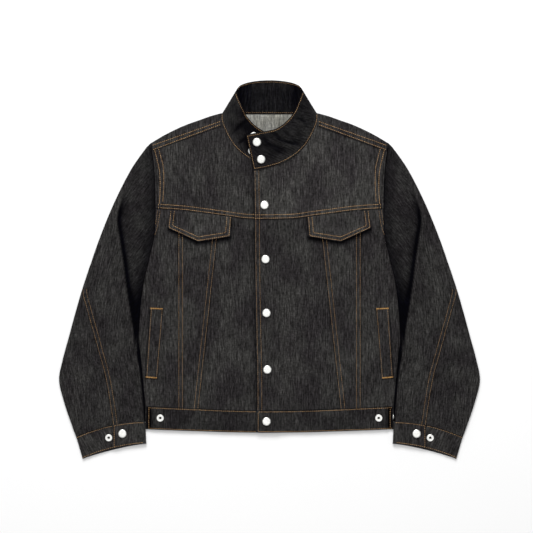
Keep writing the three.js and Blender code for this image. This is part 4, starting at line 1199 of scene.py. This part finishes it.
def collarShade(row, up, x, y):
    # painted shade: deep in folds, in the shade of the overlapping end, over the front, and darkest inside
    # where it turns round; painted highlights on fold ridges, towards the sides and near the top inside
    look = collarShades
    under, folds = collarFolds(row, x, y)
    front = mix(look["neck"], look["edge"], ramp(up, 0, 0.35)) - np.where(under, look["underEnd"], 0)
    front = front + np.clip(-0.24 * folds, -0.2, 0.5) - look["side"] * ramp(np.abs(x), 70, 92)
    endX = mix(-47, -31.4, np.clip((267 - y) / 70, 0, 1))
    beside = look["besideEnd"] * np.exp(-np.clip(endX - x, 0, None) / 7.0) * ramp(y, 215, 240)
    front = front + np.where(under, beside, 0)
    away = np.abs(row - collar["back"])
    inner = look["inside"] + look["corner"] * ramp(away, 0.8, 2.4)
    inner = inner - look["top"] * ramp(up, 0.6, 0.9) * (1 - ramp(away, 1, 2))
    inner = inner + look["streaks"] * softNoise(x, y * 0.12, 3.4, 83)
    return np.where(away < collar["turn"], np.clip(inner, 0, 1), np.clip(front, 0, look["deepest"]))


def collarGrid(u, v):
    height, row = collar["height"], u[0] * collar["last"]
    up = np.clip(between(0, height, v) / height, 0, 1)
    start = np.minimum(row, collar["last"] - row) * 26
    x, y, z = collarPlace(row, up)
    inside = np.minimum(np.minimum(up, 1 - up) * height, start)
    z = z + (rounded(inside, 1.4, 1.0) + groove(inside - collar["row"])) * ramp(z, 5, 8)
    # its ends are cut on the bias
    bias = np.where(np.abs(row - collar["back"]) > collar["turn"], 0.9, 0)
    run, rise = row * collar["lineStep"], up * height
    return x, y, np.clip(z, 0, None), run + rise * bias, rise - run * bias + 1500, collarShade(row, up, x, y)


ends = np.linspace(0, 0.02, 8)
across = evenly(np.concatenate([ends, np.linspace(0.024, 0.976, 330), np.linspace(0.98, 1, 8)]))
layCloth("collar", across, spotsAcross("plain", "plain", collar["height"], 2.0), collarGrid, collar)
print("cloth: collar")

# Snaps, spun from half sections: radius and height

snapCap = [(0, 3.4), (4.0, 3.36), (7.0, 3.2), (8.0, 2.8), (8.5, 1.9), (8.75, 0.9), (8.6, 0.3), (8.0, 0)]
snapRing = [
    (2.3, 0.2), (2.4, 1.1), (2.9, 1.6), (3.6, 1.5), (4.6, 1.15),
    (5.6, 1.3), (6.5, 1.65), (7.1, 1.3), (7.3, 0.5), (7.1, 0),
]


def spunSnap(node, profile, place, tilt, radius=None):
    bm = bmesh.new()
    scale = (radius or profile[-2][0]) / profile[-2][0] * mm
    chain = [bm.verts.new((r * scale, 0, h * scale)) for r, h in profile]
    lines = [bm.edges.new(pair) for pair in zip(chain, chain[1:])]
    bmesh.ops.spin(bm, geom=chain + lines, cent=(0, 0, 0), axis=(0, 0, 1), angle=2 * math.pi,
                   steps=40, use_merge=True)
    bmesh.ops.remove_doubles(bm, verts=bm.verts, dist=1e-6)
    bmesh.ops.holes_fill(bm, edges=[e for e in bm.edges if e.is_boundary])
    bmesh.ops.recalc_face_normals(bm, faces=bm.faces)
    turn = Vector((0, 0, 1)).rotation_difference(Vector(tilt).normalized()).to_matrix()
    bmesh.ops.transform(bm, matrix=turn.to_4x4(), verts=bm.verts)
    bmesh.ops.translate(bm, vec=Vector(place) * mm, verts=bm.verts)
    mesh = bpy.data.meshes.new("nickel_" + node)
    bm.to_mesh(mesh)
    bm.free()
    newObject("nickel_" + node, mesh, [nickel], [node])


surfaces = {}


def surfaceTree(name):
    # the outer face of a piece, for finding what lies below a place
    if name not in surfaces:
        mesh = bpy.data.objects[name].data
        points = [v.co.copy() for v in mesh.vertices]
        faces = [tuple(p.vertices) for p in mesh.polygons]
        surfaces[name] = BVHTree.FromPolygons(points, faces)
    return surfaces[name]


def heightOn(name, x, y, above=200):
    hit, normal, _, _ = surfaceTree(name).ray_cast(Vector((x * mm, y * mm, above * mm)), Vector((0, 0, -1)))
    if hit is None:
        return None
    return hit.z / mm, normal if normal.z > 0 else -normal


snaps = {
    "front": [(-10, 128), (-8, 19.6), (-6, -88), (-4.4, -201)],
    "waist": (-6, -304.6), "waistRing": (218.5, -298), "side": (246.4, -295, 6.4, 5.4),
    "collar": [(-25.2, 253), (-16.8, 219)], "stud": [(-31.5, 266.4), (-35.6, 236.2)],
    "cuff": (294, -329), "cuffRing": (321.5, -337.5),
}


def seatSnap(node, profile, carrier, x, y, above=200):
    z, normal = heightOn("denim_" + carrier, x, y, above)
    spunSnap(node, profile, (x, y, z - 0.25), normal)


for n, (x, y) in enumerate(snaps["front"]):
    seatSnap(f"front_snap_{n + 1}", snapCap, "front_yoke_left" if y > 102 else "front_centre_left", x, y)
seatSnap("waist_snap", snapCap, "front_waistband_left", *snaps["waist"])
for n, place in enumerate(snaps["collar"]):
    seatSnap(f"collar_snap_{n + 1}", snapCap, "collar", *place)
for n, place in enumerate(snaps["stud"]):
    seatSnap(f"collar_stud_{n + 1}", snapRing, "collar", *place, above=12.5)
for side in sides:
    name, sign = side["name"], side["sign"]
    for node, profile, carrier, (x, y) in (
        ("waist_ring", snapRing, "front_waistband", snaps["waistRing"]),
        ("cuff_snap", snapCap, "cuff", snaps["cuff"]),
        ("cuff_ring", snapRing, "cuff", snaps["cuffRing"]),
    ):
        seatSnap(f"{node}_{name}", profile, f"{carrier}_{name}", sign * x, y)
*sidePlace, sideRadius = snaps["side"]
spunSnap("side_snap", snapCap, sidePlace, (1, 0, 0), sideRadius)
print("metal: snaps")


# Stitches: short capsules of thread along lines on the cloth

def stitchTemplate(length, width, height):
    bm = bmesh.new()
    bmesh.ops.create_uvsphere(bm, u_segments=6, v_segments=5, radius=0.5)
    lying = Vector((0, 0, 1)).rotation_difference(Vector((1, 0, 0))).to_matrix()
    bmesh.ops.rotate(bm, matrix=lying, verts=bm.verts)
    bmesh.ops.scale(bm, vec=(length * mm, width * mm, height * mm), verts=bm.verts)
    bmesh.ops.triangulate(bm, faces=bm.faces)
    mesh = bpy.data.meshes.new("stitch")
    bm.to_mesh(mesh)
    bm.free()
    points = np.array([v.co for v in mesh.vertices])
    faces = np.array([p.vertices[:] for p in mesh.polygons])
    bpy.data.meshes.remove(mesh)
    return points, faces


def repeatMesh(name, template, places, directions, normals):
    # one mesh of many copies of a small shape
    points, faces = template
    count = len(places)
    forward = directions / np.linalg.norm(directions, axis=1, keepdims=True)
    sideways = np.cross(normals, forward)
    sideways /= np.linalg.norm(sideways, axis=1, keepdims=True)
    upward = np.cross(forward, sideways)
    frames = np.stack([forward, sideways, upward], axis=1)
    moved = np.einsum("pk,nkc->npc", points, frames) + places[:, None, :]
    corners = (faces[None] + (np.arange(count) * len(points))[:, None, None]).reshape(-1)
    mesh = bpy.data.meshes.new(name)
    mesh.vertices.add(count * len(points))
    mesh.vertices.foreach_set("co", moved.astype(np.float32).ravel())
    mesh.loops.add(len(corners))
    mesh.loops.foreach_set("vertex_index", corners.astype(np.int32))
    mesh.polygons.add(count * len(faces))
    mesh.polygons.foreach_set("loop_start", np.arange(0, len(corners), 3, dtype=np.int32))
    mesh.update(calc_edges=True)
    mesh.validate()
    return mesh


stitchSeed = np.random.default_rng(5)


def spacedAlong(path, pitch):
    path = np.asarray(path, float)
    run = np.concatenate([[0], np.cumsum(np.linalg.norm(np.diff(path, axis=0), axis=1))])
    count = max(int(run[-1] / pitch), 1)
    ends = np.linspace(0, run[-1], count + 1)
    return np.stack([np.interp(ends, run, column) for column in path.T], axis=1)


def sew(name, carriers, paths, thread, pitch=sewing["pitch"], width=sewing["width"], inner=0.0):
    # rows of stitches on the highest of the carriers below each one
    places, directions, normals = [], [], []
    lift = sewing["lift"] + inner
    for path in paths:
        ends = spacedAlong(path, pitch)
        for a, b in zip(ends, ends[1:]):
            centre = (a + b) / 2
            centre[:2] += stitchSeed.normal(0, 0.1, 2)
            if len(centre) == 3:             # the height is known where cloth lies over cloth
                near, normal, _, _ = surfaceTree(carriers[0]).find_nearest(Vector(centre) * mm)
                outward = -normal if inner else normal
                places.append(near + outward * lift * mm)
                directions.append(Vector(b - a))
                normals.append(outward)
                continue
            found = [hit for hit in (heightOn(carrier, *centre) for carrier in carriers) if hit]
            if not found:
                continue
            z, normal = max(found, key=lambda hit: hit[0])
            run = Vector((*(b - a), 0))
            places.append((centre[0] * mm, centre[1] * mm, (z + lift) * mm))
            directions.append(run - normal * run.dot(normal))
            normals.append(normal)
    size = stitchTemplate(pitch * sewing["share"], width, sewing["height"])
    mesh = repeatMesh(name, size, np.array(places), np.array(directions), np.array(normals))
    newObject(name, mesh, [thread])


def linePath(start, end):
    count = max(int(math.dist(start, end) / sewing["step"]), 1)
    return [(mix(start[0], end[0], f), mix(start[1], end[1], f)) for f in np.linspace(0, 1, count + 1)]


def curvePath(points):
    table = columnsOf("xy", points)
    rows = np.linspace(0, len(points) - 1, (len(points) - 1) * 12)
    return list(zip(table["x"](rows), table["y"](rows)))


def yokeRows(side):
    xs = np.arange(-29.5 if side["laps"] else 26.5, 222, sewing["step"])
    rows = [[(x, yokeSeam(x) + off) for x in xs] for off in (sewing["near"], sewing["far"] - 0.6)]
    rows.append(linePath((222, yokeSeam(222.0) - 1), (222, yokeSeam(222.0) + 10)))
    rows.append(curvePath([(229.6, 238), (224, 215), (219.5, 192), (218.6, 158), (220.4, 130)]))
    rows.append(curvePath([(222, 241), (216.6, 222), (212.6, 204), (211.4, 178), (213.2, 134)]))
    return rows


def panelRows(side):
    rows = []
    for off in (sewing["near"], sewing["far"]):
        for seam, inward, foot in (("middleInner", off, -283), ("middleOuter", -off, -280)):
            rows.append([(panelSeam(seam, y) + inward, y) for y in np.arange(foot, 98, sewing["step"])])
    rows.append(curvePath([(223.6, 118), (227.4, 92), (230.4, 72)]))
    rows.append(curvePath([(218.6, 117), (221.8, 98), (225.4, 80), (229.6, 68)]))
    if side["laps"]:
        for off in (sewing["edgeRow"], 9.6):
            rows.append([(lapEdge(y) + off, y) for y in np.arange(-283, 201, sewing["step"])])
    return rows


def flapRows(side):
    shape, rows = flapShape, []
    for off in (2.0, 9.0):
        innerX, outerX = shape["lowerInner"][0] + off, shape["lowerOuter"][0] - off
        corners = [
            (shape["topInner"][0] + off, shape["topInner"][1]), (innerX, flapFoot(innerX) + off),
            (shape["point"][0], shape["point"][1] + off * 1.04),
            (outerX, flapFoot(outerX) + off), (shape["topOuter"][0] - off, shape["topOuter"][1] - 0.5),
        ]
        rows += [linePath(*ends) for ends in zip(corners, corners[1:])]
    return rows


def shoulderRows(side):
    start, end = body["shoulderNeck"], body["shoulderArm"]
    rises = (3.2, 1, 2.6), (9.6, 0, 11.2)
    return [linePath((start[0], start[1] + a), (end[0] - b, end[1] + c)) for a, b, c in rises]


def bandRows(side):
    xs = np.arange(-22.6 if side["laps"] else 27, 246, sewing["step"])
    rows = [[(x, hemSeam(x) - 1.6) for x in xs], [(x, hemEdge(x) + sewing["edgeRow"]) for x in xs]]
    return rows + [linePath((-22.6, -287), (-22.6, -324))] if side["laps"] else rows


def bandEndRows(side):
    return [linePath((241.4, -279), (241.4, -317.5))]


def weltRows(side):
    # one row inside each long edge
    rows = []
    for edge, shift in (("Inner", 2), ("Outer", -2)):
        top, low = weltShape["top" + edge], weltShape["lower" + edge]
        rows.append(linePath((top[0] + shift, top[1] - 2), (low[0] + shift, low[1] + 2)))
    return rows


def tackRows(side):
    # two close rows across each end of the welt
    rows = []
    for end, first, step in (("top", -0.3, -1.3), ("lower", 1.6, 1.3)):
        (ax, ay), (bx, by) = weltShape[end + "Inner"], weltShape[end + "Outer"]
        rows += [linePath((ax + 1, ay + up), (bx + 1, by + up)) for up in (first, first + step)]
    return rows


def sleeveRows(side):
    rows = []
    for off in (2.0, 9.2):
        found = []
        for row in np.linspace(6.05, 13, 90):
            place = sleeveRow(row)["seam"] + off
            x, y, *_ = sleevePlace(side, np.array([row]), np.array([place]), np.array([0.0]))
            if place > 1.5:
                found.append((x[0], y[0]))
        rows.append(found)
    return rows


def cuffRows(side):
    def point(run, up, off):
        x, y, *_ = cuffPlace(side, (np.array([0.0]), np.array([run])), (np.array([up]), np.array([off])))
        return x[0], y[0]

    # on the lap, along its edge, and on the end that lies under it
    seamRow, edgeRow = (1.0, -sewing["edgeRow"]), (0.0, 2.6)
    rows = [[point(run, *row) for run in np.linspace(2, 62, 40)] for row in (seamRow, edgeRow)]
    rows.append([point(sewing["edgeRow"], up, 0.0) for up in np.linspace(0.03, 0.97, 12)])
    for row, stretch in ((seamRow, (286, 206, 50)), (edgeRow, (271, 206, 40))):
        rows.append([point(run, *row) for run in np.linspace(*stretch)])
    return rows


fronts = ["front_centre", "front_middle", "front_side", "front_yoke"]
seams = [
    # name, what carries it, its rows, and what differs from the usual stitch
    ("stitches_yoke", fronts, yokeRows, {}),
    ("stitches_panels", fronts, panelRows, {"width": 0.5}),
    ("stitches_flap", ["pocket_flap"], flapRows, {}),
    ("stitches_shoulder", ["back_panel"], shoulderRows, {}),
    ("stitches_waistband", ["front_waistband", "back_waistband"], bandRows, {"width": 0.8}),
    ("stitches_band_end", ["back_waistband"], bandEndRows, {}),
    ("stitches_welt", ["pocket_welt"], weltRows, {"width": 0.6}),
    ("bar_tacks_welt", ["pocket_welt", "front_side"], tackRows, {
        "thread": orangeThread, "pitch": 1.7, "width": 1.3,
    }),
    ("stitches_sleeve", ["top_sleeve"], sleeveRows, {"width": 0.5}),
    ("stitches_cuff", ["cuff"], cuffRows, {"width": 0.8}),
]
for side in sides:
    name, sign = side["name"], side["sign"]
    for seam, parts, rowsOf, look in seams:
        carriers = ["denim_" + part + ("" if part.startswith("back") else "_" + name) for part in parts]
        paths = [[(sign * x, y) for x, y in path] for path in rowsOf(side)]
        sew(f"{seam}_{name}", carriers, paths, **{"thread": tanThread, **look})
print("thread: body, sleeves and cuffs")


def collarRow(up, start, end):
    rows = np.linspace(start, end, 240)
    return list(zip(*collarPlace(rows, up + 0 * rows)))


ends = ((0.05, 7.2), (18.8, collar["last"] - 0.05)), ((0.05, 7.1), (18.9, collar["last"] - 0.05))
collarRows = [collarRow(up, *stretch) for up, pair in zip((0.045, 0.955), ends) for stretch in pair]
ups = np.linspace(0.03, 0.97, 20)
collarRows.append(list(zip(*collarPlace(0.09 + 0 * ups, ups))))
sew("stitches_collar", ["denim_collar"], collarRows, tanThread, width=0.7)
backRows = [collarRow(0.95, 9.1, 16.9), collarRow(0.045, 11.4, 14.6)]
sew("stitches_collar_inside", ["denim_collar"], backRows, tanThread, width=0.5, inner=collar["thickness"])
print("thread: collar")

# Floor, light and camera

floorMaterial, floorTree = newMaterial("white paper sweep, matt")
finishMaterial(floorTree, {"Base Color": linear("#ededed"), "Roughness": 0.9, "Specular IOR Level": 0.1})
bm = bmesh.new()
bmesh.ops.create_grid(bm, x_segments=1, y_segments=1, size=6.0)
floorMesh = bpy.data.meshes.new("floor")
bm.to_mesh(floorMesh)
bm.free()
floorMesh.materials.append(floorMaterial)
floor = bpy.data.objects.new("floor", floorMesh)
scene.collection.objects.link(floor)
floor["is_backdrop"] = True

world = bpy.data.worlds.new("studio")
scene.world = world
world.use_nodes = True
background = world.node_tree.nodes["Background"]
background.inputs["Color"].default_value = (1, 1, 1, 1)
background.inputs["Strength"].default_value = 0.42

studio = [
    # name, place, size and watts: a wide softbox beyond the collar, and a larger one overhead
    ("key", (-0.35, 2.6, 2.1), (1.9, 1.4), 108),
    ("overhead", (0.0, 0.0, 4.4), (6.0, 6.0), 104),
]
for name, place, size, power in studio:
    lamp = bpy.data.lights.new(name, "AREA")
    lamp.shape = "RECTANGLE"
    lamp.size, lamp.size_y = size
    lamp.energy = power
    lampObject = bpy.data.objects.new(name, lamp)
    lampObject.location = place
    lampObject.rotation_euler = (-Vector(place)).to_track_quat("-Z", "Y").to_euler()
    scene.collection.objects.link(lampObject)

view = {"centre": (-6, 5), "width": 1066, "lens": 135, "sensor": 36, "level": 5}
camera = bpy.data.cameras.new("camera")
camera.lens, camera.sensor_width = view["lens"], view["sensor"]
camera.clip_end = 50
distance = view["width"] * view["lens"] / view["sensor"]
cameraObject = bpy.data.objects.new("camera", camera)
cameraObject.location = (view["centre"][0] * mm, view["centre"][1] * mm, (distance + view["level"]) * mm)
scene.collection.objects.link(cameraObject)
scene.camera = cameraObject
scene.view_settings.view_transform = "Standard"
print("stage: floor, light and camera")

triangles = sum(len(p.vertices) - 2 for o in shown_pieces() if o.type == "MESH" for p in o.data.polygons)
print("triangles before thickness:", triangles)
